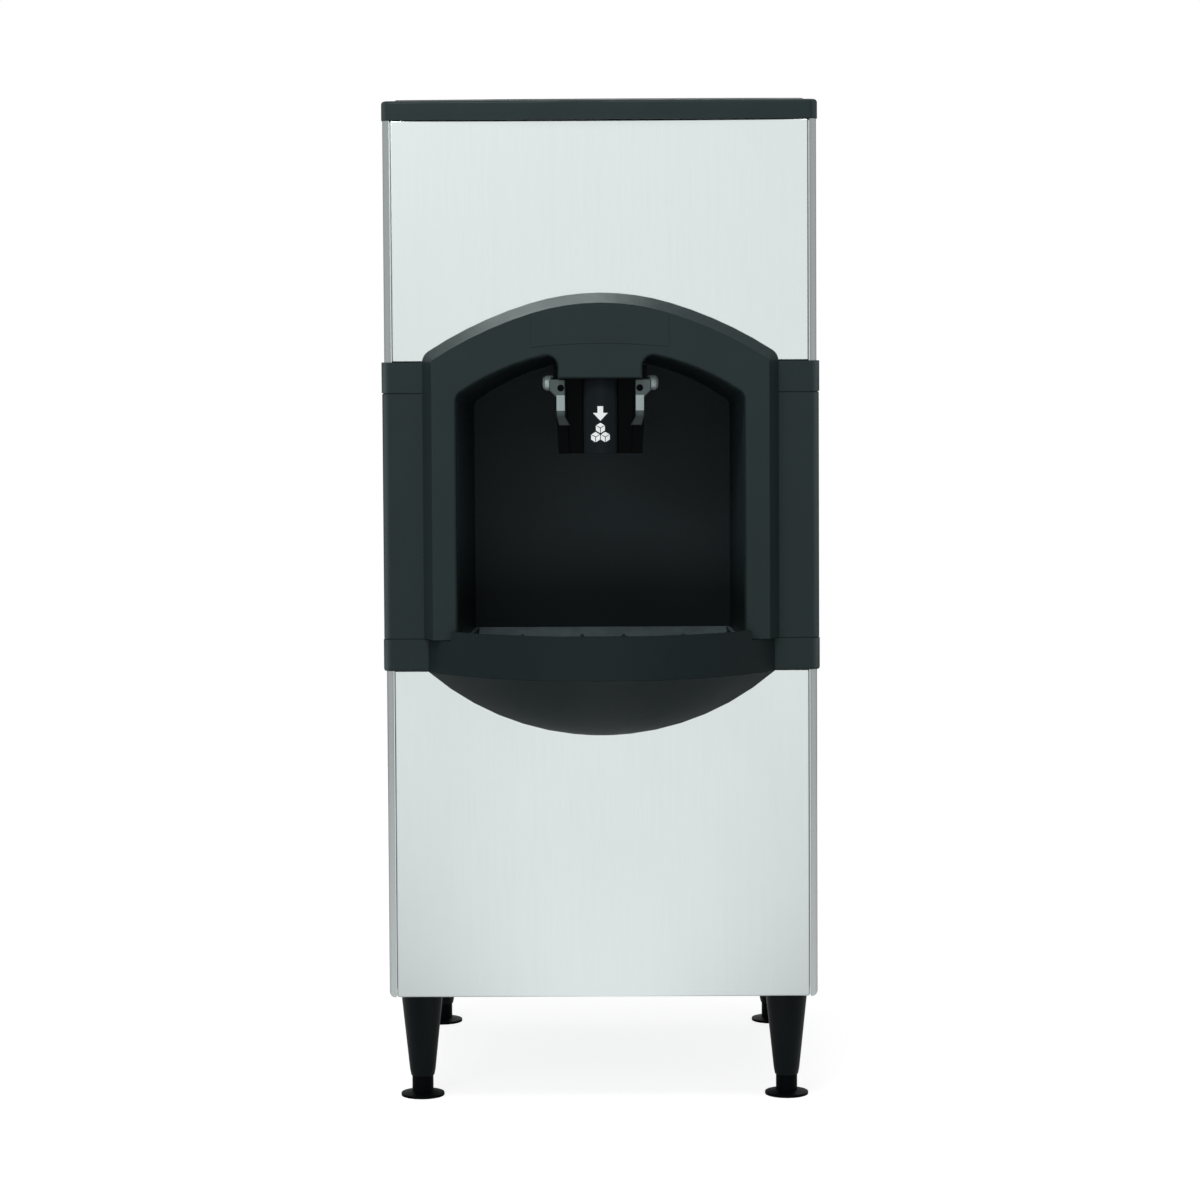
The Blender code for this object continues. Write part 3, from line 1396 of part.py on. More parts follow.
lid_overhang = 1.4 * mm
lid_bow = 10.0 * mm
lid_corner_r = 12.0 * mm
lid_round = 4.0 * mm
lid_crown = 2.2 * mm
lid_crown_inset = 15.0 * mm
lid_crown_slope = 4.0 * mm
lid_wall = 6.0 * mm
gasket_width = 10.0 * mm
gasket_height = 4.0 * mm
hinge_inset = 106.0 * mm  # from the cabinet's side to the middle of a hinge
hinge_length = 60.0 * mm
hinge_leaf = 1.5 * mm
hinge_drop = 40.0 * mm
hinge_lift = 20.0 * mm
hinge_pin_r = 1.8 * mm
knuckle_gap = 0.4 * mm
lid_half = cabinet_half + lid_overhang
hinge_x = cabinet_half - hinge_inset
hinge_y = back_skin_y + seat_gap + hinge_knuckle_r


def lid_outline(inset):
    """The plan of the lid: a bowed front between round corners, and a straight back."""
    bow = (lid_half**2 + lid_bow**2) / (2 * lid_bow)
    centre_y = front_y - lid_bow + bow
    corner_x = (lid_half - lid_corner_r) / (1 - lid_corner_r / bow)
    tilt = math.asin(corner_x / bow)
    corner = (lid_half - lid_corner_r, centre_y - (bow - lid_corner_r) * math.cos(tilt))
    radius = max(lid_corner_r - inset, seat_gap)
    reach = lid_corner_r - radius
    half = arc((0.0, centre_y), bow - reach, math.pi, math.pi - tilt, 8)
    half += arc(corner, radius, math.pi - tilt, math.pi / 2, 4)[1:]
    over = inset - reach
    points = [(max(u - over, 0.0) if u > lid_half / 2 else u, v + over) for u, v in half]
    return mirrored(points + [(lid_half - inset, back_skin_y - inset)])


def lid(parent):
    top = lid_z + lid_height
    face = top - lid_crown
    levels = [(0.0, lid_z)]
    for step in range(4):
        a = math.pi / 2 * step / 3
        levels.append((lid_round * (1 - math.cos(a)), face - lid_round * (1 - math.sin(a))))
    levels += [(lid_crown_inset, face), (lid_crown_inset + lid_crown_slope, top)]
    loops = [[Vector((u, v, z)) for u, v in lid_outline(inset)] for inset, z in levels]
    obj = make_object("lid", loft(loops), "dark_plastic", parent.location, parent)
    ceiling = bin_top_z + gasket_height + 2 * seat_gap
    cut(obj, prism(lid_outline(lid_wall), "Z", lid_z - overrun, ceiling))


def lid_gasket(parent):
    """A rubber ring in the lid that lands on the bin's neck."""
    side = (bin_wall - gasket_width) / 2
    low, high = (-bin_half + side, hopper_front_y + side), (bin_half - side, bin_back_y - side)
    bottom = bin_top_z + seat_gap
    top = bottom + gasket_height
    ring = prism(rounded_rectangle(low, high, gasket_width), "Z", bottom, top)
    obj = make_object("lid_gasket", ring, "rubber", parent.location, parent)
    inner_low = (low[0] + gasket_width, low[1] + gasket_width)
    inner_high = (high[0] - gasket_width, high[1] - gasket_width)
    cut(obj, box((*inner_low, bottom - overrun), (*inner_high, top + overrun)))


def hinge_leaf_object(name, spans, way, x, parent):
    """A leaf with its knuckles on the given spans of the pin, and room for the other leaf's knuckles."""
    front = back_skin_y + seat_gap
    far = lid_z + way * (hinge_lift if way > 0 else hinge_drop)
    ends = sorted((lid_z, far))
    low = (x - hinge_length / 2, front, ends[0])
    high = (x + hinge_length / 2, front + hinge_leaf, ends[1])
    origin = parent.location if parent else (0.0, 0.0, 0.0)
    obj = make_object(name, box(low, high), "galvanised", origin, parent)
    room = hinge_knuckle_r + knuckle_gap
    cut_ends = sorted((lid_z - way * overrun, lid_z + way * room))
    cut_low = (low[0] - overrun, front - overrun, cut_ends[0])
    cut(obj, box(cut_low, (high[0] + overrun, high[1] + overrun, cut_ends[1])))
    for start, end in spans:
        join(obj, rod("X", (hinge_y, lid_z), hinge_knuckle_r, x + start, x + end, 12))
        web = sorted((lid_z, lid_z + way * (room + hinge_leaf)))
        join(obj, box((x + start, front, web[0]), (x + end, front + hinge_leaf, web[1])))
    hole = rod("X", (hinge_y, lid_z), hinge_pin_r + seat_gap, x - hinge_length, x + hinge_length, 8)
    cut(obj, hole)


def hinges(parent):
    third = hinge_length / 6
    half = hinge_length / 2
    for side, label in ((-1, "left"), (1, "right")):
        x = side * hinge_x
        outer = ((-half, -third - knuckle_gap / 2), (third + knuckle_gap / 2, half))
        middle = ((-third + knuckle_gap / 2, third - knuckle_gap / 2),)
        hinge_leaf_object(f"{label}_hinge_leaf", outer, -1, x, None)
        hinge_leaf_object(f"{label}_lid_leaf", middle, 1, x, parent)
        pin = rod("X", (hinge_y, lid_z), hinge_pin_r, x - half, x + half, 8)
        make_object(f"{label}_hinge_pin", pin, "galvanised")


def build():
    """Clears the scene and makes every piece."""
    for old in list(bpy.data.objects):
        bpy.data.objects.remove(old, do_unlink=True)
    base_pan()
    side_panel("left_side_panel", -1)
    side_panel("right_side_panel", 1)
    back_panel()
    front_panels()
    rails()
    legs_and_feet()
    band()
    bezel()
    alcove_liner()
    drip_tray()
    tray_cowl()
    drip_grille()
    sink_drain()
    drain_pipes()
    ice_bin()
    drive()
    ice_duct()
    switch_bracket()
    proximity_switch()
    return_spring()
    rock = pivot("chute_axis", (0.0, pivot_y, pivot_z))
    push_chute(rock)
    chute_magnet(rock)
    for side, label in ((-1, "left"), (1, "right")):
        chute_arm(f"{label}_chute_arm", side, rock)
        arm_screw(f"{label}_arm_screw", side, rock)
        pivot_pin(f"{label}_pivot_pin", side)
    control_box()
    power_inlet()
    swing = pivot("lid_axis", (0.0, hinge_y, lid_z))
    lid(swing)
    lid_gasket(swing)
    hinges(swing)


build()
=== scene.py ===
"""The looks of the ice dispenser: finishes, printed marks, small fasteners, light and camera.

Metres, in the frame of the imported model: +Z up, the front faces -Y, and the origin is on the floor.
"""

import json
import math

import bmesh
import bpy
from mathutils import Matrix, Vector
from mathutils.bvhtree import BVHTree


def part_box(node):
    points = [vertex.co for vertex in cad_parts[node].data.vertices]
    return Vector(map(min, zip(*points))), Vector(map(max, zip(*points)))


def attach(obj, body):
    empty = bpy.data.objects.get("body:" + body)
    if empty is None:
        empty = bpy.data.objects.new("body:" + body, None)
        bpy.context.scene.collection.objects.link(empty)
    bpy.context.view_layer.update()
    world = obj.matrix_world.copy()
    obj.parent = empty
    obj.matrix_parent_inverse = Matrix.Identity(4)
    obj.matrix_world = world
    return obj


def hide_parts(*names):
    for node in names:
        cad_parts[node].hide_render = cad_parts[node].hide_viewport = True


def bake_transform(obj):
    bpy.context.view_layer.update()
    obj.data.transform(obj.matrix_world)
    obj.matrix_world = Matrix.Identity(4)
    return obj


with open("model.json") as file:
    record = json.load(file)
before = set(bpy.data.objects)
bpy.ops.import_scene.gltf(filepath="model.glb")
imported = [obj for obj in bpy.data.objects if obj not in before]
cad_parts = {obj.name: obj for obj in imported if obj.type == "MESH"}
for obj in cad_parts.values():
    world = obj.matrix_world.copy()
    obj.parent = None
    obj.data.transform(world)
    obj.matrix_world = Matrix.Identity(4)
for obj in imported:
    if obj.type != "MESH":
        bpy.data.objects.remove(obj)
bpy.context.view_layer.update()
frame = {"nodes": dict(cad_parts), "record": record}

mm = 0.001
SIDES = ((-1, "left"), (1, "right"))

# The camera. The photograph was taken level, with a large shift. Here a slight tilt takes over half of
# it, so that other views stay in the frame, with the distance and focal length that then fit best.
PHOTO_SIDE = 1200.0  # in pixels, as the focal length
FOCAL_PIXELS = 3332.2
CAMERA_X = 35.0 * mm
CAMERA_HEIGHT = 1006.0 * mm
CAMERA_DISTANCE = 4250.0 * mm  # from the front panels
CAMERA_TILT = 0.0537
CAMERA_ROLL = 0.0054
CAMERA_SHIFT = -0.075
CAMERA_REACH = 100.0
SENSOR = 36.0  # in millimetres, as Blender keeps it

# The lamps: width and height, power, place, and the point that they face
LAMPS = {
    "key_box": ((1.6, 0.8), 44.0, (-0.50, -2.05, 3.05), (0.0, -0.25, 0.95)),
    "front_box": ((1.2, 0.8), 13.0, (-1.68, -3.15, 1.95), (0.0, -0.2, 0.7)),
    "back_box": ((1.8, 1.2), 14.0, (0.6, 2.6, 2.7), (0.0, 0.1, 0.8)),
}

# The studio round the object: levels, where 1 is white, and how far a direction points ahead or
# sideways, from 0 to 1, where one level starts and ends to change to the next
SOFT_LEVEL = 0.40
FRONT_LEVEL = 0.80
FRONT_START = 0.40
FRONT_END = 0.80
FLAG_LEVEL = 0.26  # dark flags stand beside the camera, so that the steel's edges show
FLAG_START = 0.05
FLAG_END = 0.43
SIDE_LEVEL = 0.42
SIDE_START = 0.55
SIDE_END = 0.90

# The floor
FLOOR_SEEN = 0.80  # its own light, as the camera sees it
FLOOR_MIRRORED = 0.62  # and as a share of the studio's, as gloss mirrors it
FLOOR_COLOUR = 0.40
FLOOR_ROUGHNESS = 0.9
FLOOR_SPECULAR = 0.1
FLOOR_DROP = 0.2 * mm  # keeps the floor out of the pads' undersides
FLOOR_RADIUS = 3.2
FLOOR_STEPS = 128

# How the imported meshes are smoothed
MERGE_DISTANCE = 0.01 * mm
FLAT_ANGLE = math.radians(0.6)
SMOOTH_ANGLE = math.radians(32)
BEVEL_ANGLE = math.radians(40)
BEVEL_SEGMENTS = 2

# Edge rounding of the nodes whose edges show
EDGE_WIDTHS = {
    "lid": 0.8 * mm,
    "bezel": 0.7 * mm,
    "drip_tray": 0.8 * mm,
    "drip_grille": 0.5 * mm,
    "push_chute": 0.6 * mm,
    "left_chute_arm": 0.5 * mm,
    "right_chute_arm": 0.5 * mm,
}

# The milled pads on the chute's arms
PAD_TOP = 924.6 * mm
PAD_FOOT = 905.0 * mm
PAD_OVERHANG = 2.2 * mm  # outwards of the arm screw
PAD_WIDTH = 10.2 * mm
PAD_RISE = 0.9 * mm
PAD_SINK = 0.3 * mm
PAD_RISE_SHARES = (1.0, 0.75, 0.25)  # at its foot, half way up and at its top
PAD_CROWN_SHARES = (0.5, 1.0, 0.5)  # at its inner edge, middle and outer edge

# Where finishes, painted light and painted shade change on the object: heights, distances off its middle
# plane, a depth, and how far a face turns
ARM_SHADE_DEPTH = 8.0 * mm  # below the pads
# painted shade: the alcove's liner darkens below these heights
LINER_SHADE_LOW = 655.0 * mm
LINER_SHADE_HIGH = 745.0 * mm
# painted reflection: the middle of the chute's column is lighter
PAINTED_SHEEN_HALF = 22.0 * mm
PAINTED_SHEEN_STEP = 1.0 * mm
SHEET_ROLL_START = 260.5 * mm
SHEET_ROLL_END = 276.5 * mm
SHEET_ROLL_FALL = 3.4 * mm
MOULDING_EDGE_START = 268.0 * mm
MOULDING_ROUND_END = 279.6 * mm
MOULDING_ROUND_FALL = 2.0 * mm
MOULDING_HIGHLIGHT_END = 278.6 * mm
HIGHLIGHT_FRONT = -0.85  # faces whose normal's Y is below this get the painted highlight
HIGHLIGHT_SIDE = -0.25  # and above this they don't
# painted light on the drip tray's upward faces behind this plane
PAINTED_LIGHT_FRONT = -280.0 * mm
PAINTED_LIGHT_STEP = 10.0 * mm
PAINTED_LIGHT_TILT = 0.35  # the normal's Z where the painted light starts
PAINTED_LIGHT_TILT_STEP = 0.2
PAINTED_LIGHT_THIN = 0.65  # the painted light's cover where it is weakest

# Colours, in linear light
CHARCOAL = (0.0164, 0.0270, 0.0280)
# painted highlight on the band's and lid's outer edges
CHARCOAL_EDGE_HIGHLIGHT = (0.135, 0.170, 0.175)
# painted light on the drip tray's upward faces
TRAY_PAINTED_LIGHT = (0.090, 0.119, 0.125)
# painted shade low in the alcove
LINER_PAINTED_SHADE = (0.0075, 0.0115, 0.0130)
# painted reflection on the chute's column
PAINTED_SHEEN_COLOUR = (0.0090, 0.0125, 0.0145)
# painted shade on the arms' feet
ARM_FOOT_PAINTED_SHADE = (0.022, 0.029, 0.029)


# Nodes of shaders


def feed(tree, socket, value):
    """Links a socket to another one, or sets it to a number or a colour."""
    if isinstance(value, bpy.types.NodeSocket):
        tree.links.new(value, socket)
    else:
        socket.default_value = value


def calculate(tree, operation, *values):
    """A Math node fed by sockets and numbers."""
    node = tree.nodes.new("ShaderNodeMath")
    node.operation = operation
    for socket, value in zip(node.inputs, values):
        feed(tree, socket, value)
    return node.outputs[0]


def spread(tree, value, start, end, low, high, interpolation="LINEAR"):
    """Goes from one level to another while a value goes from its start to its end."""
    node = tree.nodes.new("ShaderNodeMapRange")
    node.interpolation_type = interpolation
    for name, level in (("From Min", start), ("From Max", end), ("To Min", low), ("To Max", high)):
        node.inputs[name].default_value = level
    tree.links.new(value, node.inputs["Value"])
    return node.outputs["Result"]


def along(tree, vector, axis):
    """A vector's component along an axis."""
    split = tree.nodes.new("ShaderNodeSeparateXYZ")
    tree.links.new(vector, split.inputs[0])
    return split.outputs[axis]


# Shapes of carried-over nodes: welded, with small rounded edges and smooth shading


def geometry_group(name):
    """An empty geometry node group with one mesh in and one out."""
    group = bpy.data.node_groups.new(name, "GeometryNodeTree")
    group.interface.new_socket("Mesh", in_out="INPUT", socket_type="NodeSocketGeometry")
    group.interface.new_socket("Mesh", in_out="OUTPUT", socket_type="NodeSocketGeometry")
    start = group.nodes.new("NodeGroupInput")
    end = group.nodes.new("NodeGroupOutput")
    return group, start.outputs[0], end.inputs[0]


def weld_group():
    """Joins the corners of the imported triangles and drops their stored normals."""
    group, mesh, end = geometry_group("weld")
    forget = group.nodes.new("GeometryNodeRemoveAttribute")
    forget.inputs["Name"].default_value = "custom_normal"
    merge = group.nodes.new("GeometryNodeMergeByDistance")
    merge.inputs["Distance"].default_value = MERGE_DISTANCE
    group.links.new(mesh, forget.inputs["Geometry"])
    group.links.new(forget.outputs["Geometry"], merge.inputs["Geometry"])
    group.links.new(merge.outputs["Geometry"], end)
    return group


def smooth_group():
    """Smooth shading, apart from edges sharper than the limit."""
    group, mesh, end = geometry_group("smooth")
    faces = group.nodes.new("GeometryNodeSetShadeSmooth")
    edges = group.nodes.new("GeometryNodeSetShadeSmooth")
    edges.domain = "EDGE"
    edges.inputs["Shade Smooth"].default_value = False
    angle = group.nodes.new("GeometryNodeInputMeshEdgeAngle")
    sharp = group.nodes.new("FunctionNodeCompare")
    sharp.operation = "GREATER_THAN"
    sharp.inputs["B"].default_value = SMOOTH_ANGLE
    group.links.new(mesh, faces.inputs["Geometry"])
    group.links.new(faces.outputs["Geometry"], edges.inputs["Geometry"])
    group.links.new(angle.outputs["Unsigned Angle"], sharp.inputs["A"])
    group.links.new(sharp.outputs["Result"], edges.inputs["Selection"])
    group.links.new(edges.outputs["Geometry"], end)
    return group


WELD, SMOOTH = weld_group(), smooth_group()


def weld(obj):
    """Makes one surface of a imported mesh."""
    obj.modifiers.new("weld", "NODES").node_group = WELD


def round_edges(obj, width):
    """Small rounded edges where a surface turns sharply."""
    edges = obj.modifiers.new("edges", "BEVEL")
    edges.width = width
    edges.segments = BEVEL_SEGMENTS
    edges.limit_method = "ANGLE"
    edges.angle_limit = BEVEL_ANGLE
    edges.use_clamp_overlap = True


def add_smoothing(obj):
    """Smooth shading in which flat faces stay flat beside their rounded edges."""
    obj.modifiers.new("smooth", "NODES").node_group = SMOOTH
    normals = obj.modifiers.new("normals", "WEIGHTED_NORMAL")
    normals.keep_sharp = True


def refine(name):
    """Welds a carried-over node, rounds the edges that show and shades it smooth."""
    obj = frame["nodes"][name]
    weld(obj)
    if name in EDGE_WIDTHS:
        flat = obj.modifiers.new("flat", "DECIMATE")
        flat.decimate_type = "DISSOLVE"
        flat.angle_limit = FLAT_ANGLE
        round_edges(obj, EDGE_WIDTHS[name])
    add_smoothing(obj)
    return obj


# Materials

# The sockets of a Mix node that colours use
MIX_FACTOR, MIX_FIRST, MIX_SECOND, MIX_RESULT = 0, 6, 7, 2


class Finish:
    """A Principled material whose colour, gloss and relief vary with noise in the object's own space.

    A scale is in features per metre, the same along each axis or one for each.
    """

    def __init__(self, name, colour, roughness, metallic=0.0, specular=0.5):
        self.material = bpy.data.materials.new(name)
        self.material.use_nodes = True
        self.tree = self.material.node_tree
        self.shader = self.tree.nodes["Principled BSDF"]
        self.colour = (*colour, 1.0)
        self.roughness = roughness
        self.normal = None
        self.shader.inputs["Base Color"].default_value = self.colour
        self.shader.inputs["Roughness"].default_value = roughness
        self.shader.inputs["Metallic"].default_value = metallic
        self.shader.inputs["Specular IOR Level"].default_value = specular
        self.place = self.tree.nodes.new("ShaderNodeTexCoord").outputs["Object"]

    def link(self, start, end):
        """Joins an output to an input."""
        self.tree.links.new(start, end)

    def pattern(self, kind, scale):
        """A texture node over the object's own coordinates."""
        mapping = self.tree.nodes.new("ShaderNodeMapping")
        mapping.inputs["Scale"].default_value = scale if isinstance(scale, tuple) else (scale,) * 3
        self.link(self.place, mapping.inputs["Vector"])
        texture = self.tree.nodes.new(kind)
        texture.inputs["Scale"].default_value = 1.0
        self.link(mapping.outputs["Vector"], texture.inputs["Vector"])
        return texture

    def noise(self, scale, detail=3.0, roughness=0.55):
        """Cloudy noise from 0 to 1."""
        texture = self.pattern("ShaderNodeTexNoise", scale)
        texture.inputs["Detail"].default_value = detail
        texture.inputs["Roughness"].default_value = roughness
        return texture.outputs["Fac"]

    def cells(self, scale):
        """A flat random value from 0 to 1 in each crystal-like cell."""
        split = self.tree.nodes.new("ShaderNodeSeparateColor")
        self.link(self.pattern("ShaderNodeTexVoronoi", scale).outputs["Color"], split.inputs["Color"])
        return split.outputs[0]

    def ranged(self, factor, low, high, start=0.25, end=0.75):
        """A factor's middle range spread over new limits."""
        return spread(self.tree, factor, start, end, low, high)

    def off_middle(self):
        """The distance from the object's middle plane, in metres."""
        return calculate(self.tree, "ABSOLUTE", along(self.tree, self.place, "X"))

    def facing(self, axis):
        """How far the surface faces along an axis, from -1 to 1."""
        geometry = self.tree.nodes.new("ShaderNodeNewGeometry")
        return along(self.tree, geometry.outputs["Normal"], axis)

    def product(self, *factors):
        """Several factors as one."""
        result = factors[0]
        for factor in factors[1:]:
            result = calculate(self.tree, "MULTIPLY", result, factor)
        return result

    def mix_colour(self, mode, factor, colour):
        """Mixes a colour into what colours the surface already."""
        mix = self.tree.nodes.new("ShaderNodeMix")
        mix.data_type = "RGBA"
        mix.blend_type = mode
        target = self.shader.inputs["Base Color"]
        before = target.links[0].from_socket if target.links else self.colour
        feed(self.tree, mix.inputs[MIX_FACTOR], factor)
        feed(self.tree, mix.inputs[MIX_FIRST], before)
        feed(self.tree, mix.inputs[MIX_SECOND], colour)
        self.link(mix.outputs[MIX_RESULT], target)
        return self

    def vary_colour(self, factor, share):
        """Darkens and lightens the colour by a share, on top of what varies it already."""
        grey = self.tree.nodes.new("ShaderNodeCombineColor")
        value = self.ranged(factor, 1.0 - share, 1.0 + share)
        for channel in grey.inputs:
            self.link(value, channel)
        return self.mix_colour("MULTIPLY", 1.0, grey.outputs[0])

    def tint(self, factor, colour):
        """Turns to another colour by a factor."""
        return self.mix_colour("MIX", factor, (*colour, 1.0))

    def vary_gloss(self, factor, reach):
        """Spreads the roughness evenly about its own value."""
        value = self.ranged(factor, self.roughness - reach, self.roughness + reach)
        self.link(value, self.shader.inputs["Roughness"])
        return self

    def relief(self, factor, depth, strength=1.0):
        """Adds a bump of a real depth to what bends the surface already."""
        bump = self.tree.nodes.new("ShaderNodeBump")
        bump.inputs["Distance"].default_value = depth
        bump.inputs["Strength"].default_value = strength
        self.link(factor, bump.inputs["Height"])
        if self.normal:
            self.link(self.normal, bump.inputs["Normal"])
        self.normal = bump.outputs["Normal"]
        self.link(self.normal, self.shader.inputs["Normal"])
        return self

    def paint_shade_below(self, low, high, colour):
        """Paints shade below a height: turns to another colour there, with a soft step."""
        height = along(self.tree, self.place, "Z")
        return self.tint(self.ranged(height, 1.0, 0.0, low, high), colour)

    def rounded(self, start, end, fall):
        """Shades the outer edges as if they were rounded off, from a distance off the middle plane."""
        outwards = self.off_middle()
        out = self.ranged(outwards, 0.0, 1.0, start, end)
        back = self.ranged(outwards, 0.0, -1.0, start, end)
        return self.relief(calculate(self.tree, "MULTIPLY_ADD", out, back, 1.0), fall)

    def paint_edge_highlight(self, start, end, colour):
        """Paints a highlight on the outer edges of the front faces, lighter outwards, from a distance
        off the middle plane.
        """
        front = self.ranged(self.facing("Y"), 1.0, 0.0, HIGHLIGHT_FRONT, HIGHLIGHT_SIDE)
        outwards = self.ranged(self.off_middle(), 0.0, 1.0, start, end)
        return self.tint(self.product(front, outwards, outwards), colour)

    def paint_top_light(self, colour):
        """Painted light on the faces that look up, behind a plane of the object, in patches of noise."""
        patches = self.ranged(self.noise(45.0, 4.0), PAINTED_LIGHT_THIN, 1.0)
        upwards = self.ranged(self.facing("Z"), 0.0, 1.0, PAINTED_LIGHT_TILT, PAINTED_LIGHT_TILT + PAINTED_LIGHT_TILT_STEP)
        depth = along(self.tree, self.place, "Y")
        inside = self.ranged(depth, 0.0, 1.0, PAINTED_LIGHT_FRONT, PAINTED_LIGHT_FRONT + PAINTED_LIGHT_STEP)
        return self.tint(self.product(patches, upwards, inside), colour)


def stainless(name="brushed_stainless"):
    """Sheet with fine upright brushing, faint long streaks and a slight wave."""
    made = Finish(name, (0.758, 0.822, 0.817), roughness=0.24, metallic=1.0)
    grain = made.noise((2400.0, 2400.0, 14.0), 2.0)
    streaks = made.noise((170.0, 170.0, 2.2), 3.0)
    smears = made.noise((7.0, 7.0, 5.0), 4.0)
    made.vary_colour(streaks, 0.006).vary_colour(grain, 0.02)
    made.vary_gloss(smears, 0.02)
    return made.relief(grain, 0.003 * mm).relief(made.noise((3.0, 3.0, 2.5), 0.0), 0.05 * mm)


def rolled_stainless():
    """The same sheet, rolled back towards the outside of the side panels."""
    made = stainless("rolled_side_sheet")
    flat = made.ranged(made.off_middle(), 1.0, 0.0, SHEET_ROLL_START, SHEET_ROLL_END)
    return made.relief(flat, SHEET_ROLL_FALL)


def galvanised():
    """Zinc-coated sheet with its spangle."""
    made = Finish("galvanised_sheet", (0.55, 0.58, 0.59), roughness=0.42, metallic=1.0)
    spangle = made.cells(130.0)
    made.vary_colour(spangle, 0.045).vary_colour(made.noise(9.0, 4.0), 0.04)
    made.vary_gloss(spangle, 0.025)
    return made.relief(made.noise(900.0, 3.0), 0.010 * mm)


def moulded(name, colour, roughness, specular):
    """Charcoal plastic with a fine spark-eroded grain and faint flow marks."""
    made = Finish(name, colour, roughness, specular=specular)
    grain = made.noise(1500.0, 3.0, 0.7)
    flow = made.noise((11.0, 11.0, 7.0), 3.0)
    made.vary_colour(grain, 0.14).vary_colour(flow, 0.07)
    made.vary_gloss(flow, 0.04)
    return made.relief(grain, 0.035 * mm).relief(flow, 0.05 * mm, 0.5)


def liner_moulding():
    """The alcove's moulding, with painted shade that darkens it towards its foot."""
    made = moulded("dark_liner_moulding", (0.0247, 0.0368, 0.0416), 0.42, 0.10)
    # painted shade towards the liner's foot
    return made.paint_shade_below(LINER_SHADE_LOW, LINER_SHADE_HIGH, LINER_PAINTED_SHADE)


def round_moulding():
    """The moulding of the band and the lid, with outer edges rounded by bump and a painted highlight on
    them.
    """
    made = moulded("round_charcoal_moulding", CHARCOAL, 0.42, 0.14)
    made.rounded(MOULDING_EDGE_START, MOULDING_ROUND_END, MOULDING_ROUND_FALL)
    return made.paint_edge_highlight(MOULDING_EDGE_START, MOULDING_HIGHLIGHT_END, CHARCOAL_EDGE_HIGHLIGHT)


def gloss_black():
    """Polished black plastic with hairline rub marks, and a painted reflection that lightens the middle
    of the chute's column.
    """
    made = Finish("gloss_black_plastic", (0.0006, 0.0012, 0.0014), roughness=0.18, specular=0.03)
    rubs = made.noise((700.0, 700.0, 40.0), 4.0, 0.7)
    made.vary_colour(rubs, 0.2).vary_gloss(rubs, 0.05)
    # painted reflection down the middle of the column
    sheen_mask = made.ranged(made.off_middle(), 1.0, 0.0, PAINTED_SHEEN_HALF - PAINTED_SHEEN_STEP, PAINTED_SHEEN_HALF)
    made.tint(sheen_mask, PAINTED_SHEEN_COLOUR)
    return made.relief(rubs, 0.004 * mm).relief(made.noise(60.0, 1.0), 0.02 * mm)


def casting():
    """Satin light-metal casting, with painted shade that darkens the arms' feet."""
    made = Finish("grey_casting", (0.072, 0.094, 0.094), roughness=0.36, metallic=0.6)
    skin = made.noise(600.0, 4.0, 0.7)
    made.vary_colour(skin, 0.10).vary_gloss(skin, 0.08)
    # painted shade: darker below the pads
    made.paint_shade_below(PAD_FOOT - ARM_SHADE_DEPTH, PAD_FOOT, ARM_FOOT_PAINTED_SHADE)
    return made.relief(skin, 0.05 * mm)


def machined(name, colour):
    """Milled face of a casting, with its fine cutter lines."""
    made = Finish(name, colour, roughness=0.42, metallic=0.4)
    lines = made.noise((60.0, 60.0, 2600.0), 2.0)
    made.vary_colour(lines, 0.08).vary_gloss(lines, 0.06)
    return made.relief(lines, 0.01 * mm)


def black_coat():
    """Black powder coat with its orange peel."""
    made = Finish("black_powder_coat", (0.002, 0.005, 0.006), roughness=0.42, specular=0.14)
    peel = made.noise(420.0, 2.0)
    made.vary_colour(made.noise(40.0, 4.0), 0.15).vary_gloss(peel, 0.06)
    return made.relief(peel, 0.03 * mm)


def pale_plastic(name, colour, roughness):
    """White or grey moulding with faint knit marks."""
    made = Finish(name, colour, roughness, specular=0.45)
    cloud = made.noise((14.0, 14.0, 9.0), 4.0)
    skin = made.noise(800.0, 2.0)
    made.vary_colour(cloud, 0.03).vary_gloss(cloud, 0.05)
    return made.relief(skin, 0.012 * mm)


def bronze():
    """Sintered bush with open pores."""
    made = Finish("sintered_bronze", (0.42, 0.27, 0.12), roughness=0.40, metallic=1.0)
    pores = made.cells(1600.0)
    made.vary_colour(pores, 0.12).vary_gloss(pores, 0.08)
    return made.relief(pores, 0.02 * mm)


def rubber():
    """Soft black gasket rubber."""
    made = Finish("gasket_rubber", (0.018, 0.019, 0.019), roughness=0.78, specular=0.3)
    dust = made.noise(220.0, 4.0)
    made.vary_colour(dust, 0.18).vary_gloss(dust, 0.06)
    return made.relief(dust, 0.03 * mm)


def motor_paint():
    """Dark stoved enamel on the gear motor."""
    made = Finish("motor_enamel", (0.05, 0.06, 0.07), roughness=0.45)
    peel = made.noise(380.0, 3.0)
    made.vary_colour(made.noise(30.0, 4.0), 0.12).vary_gloss(peel, 0.06)
    return made.relief(peel, 0.03 * mm)


def print_white():
    """White pad-printed ink."""
    made = Finish("white_ink", (0.80, 0.84, 0.84), roughness=0.5, specular=0.4)
    grain = made.noise(1800.0, 2.0)
    made.vary_colour(grain, 0.04).vary_gloss(grain, 0.05)
    return made.relief(grain, 0.004 * mm)


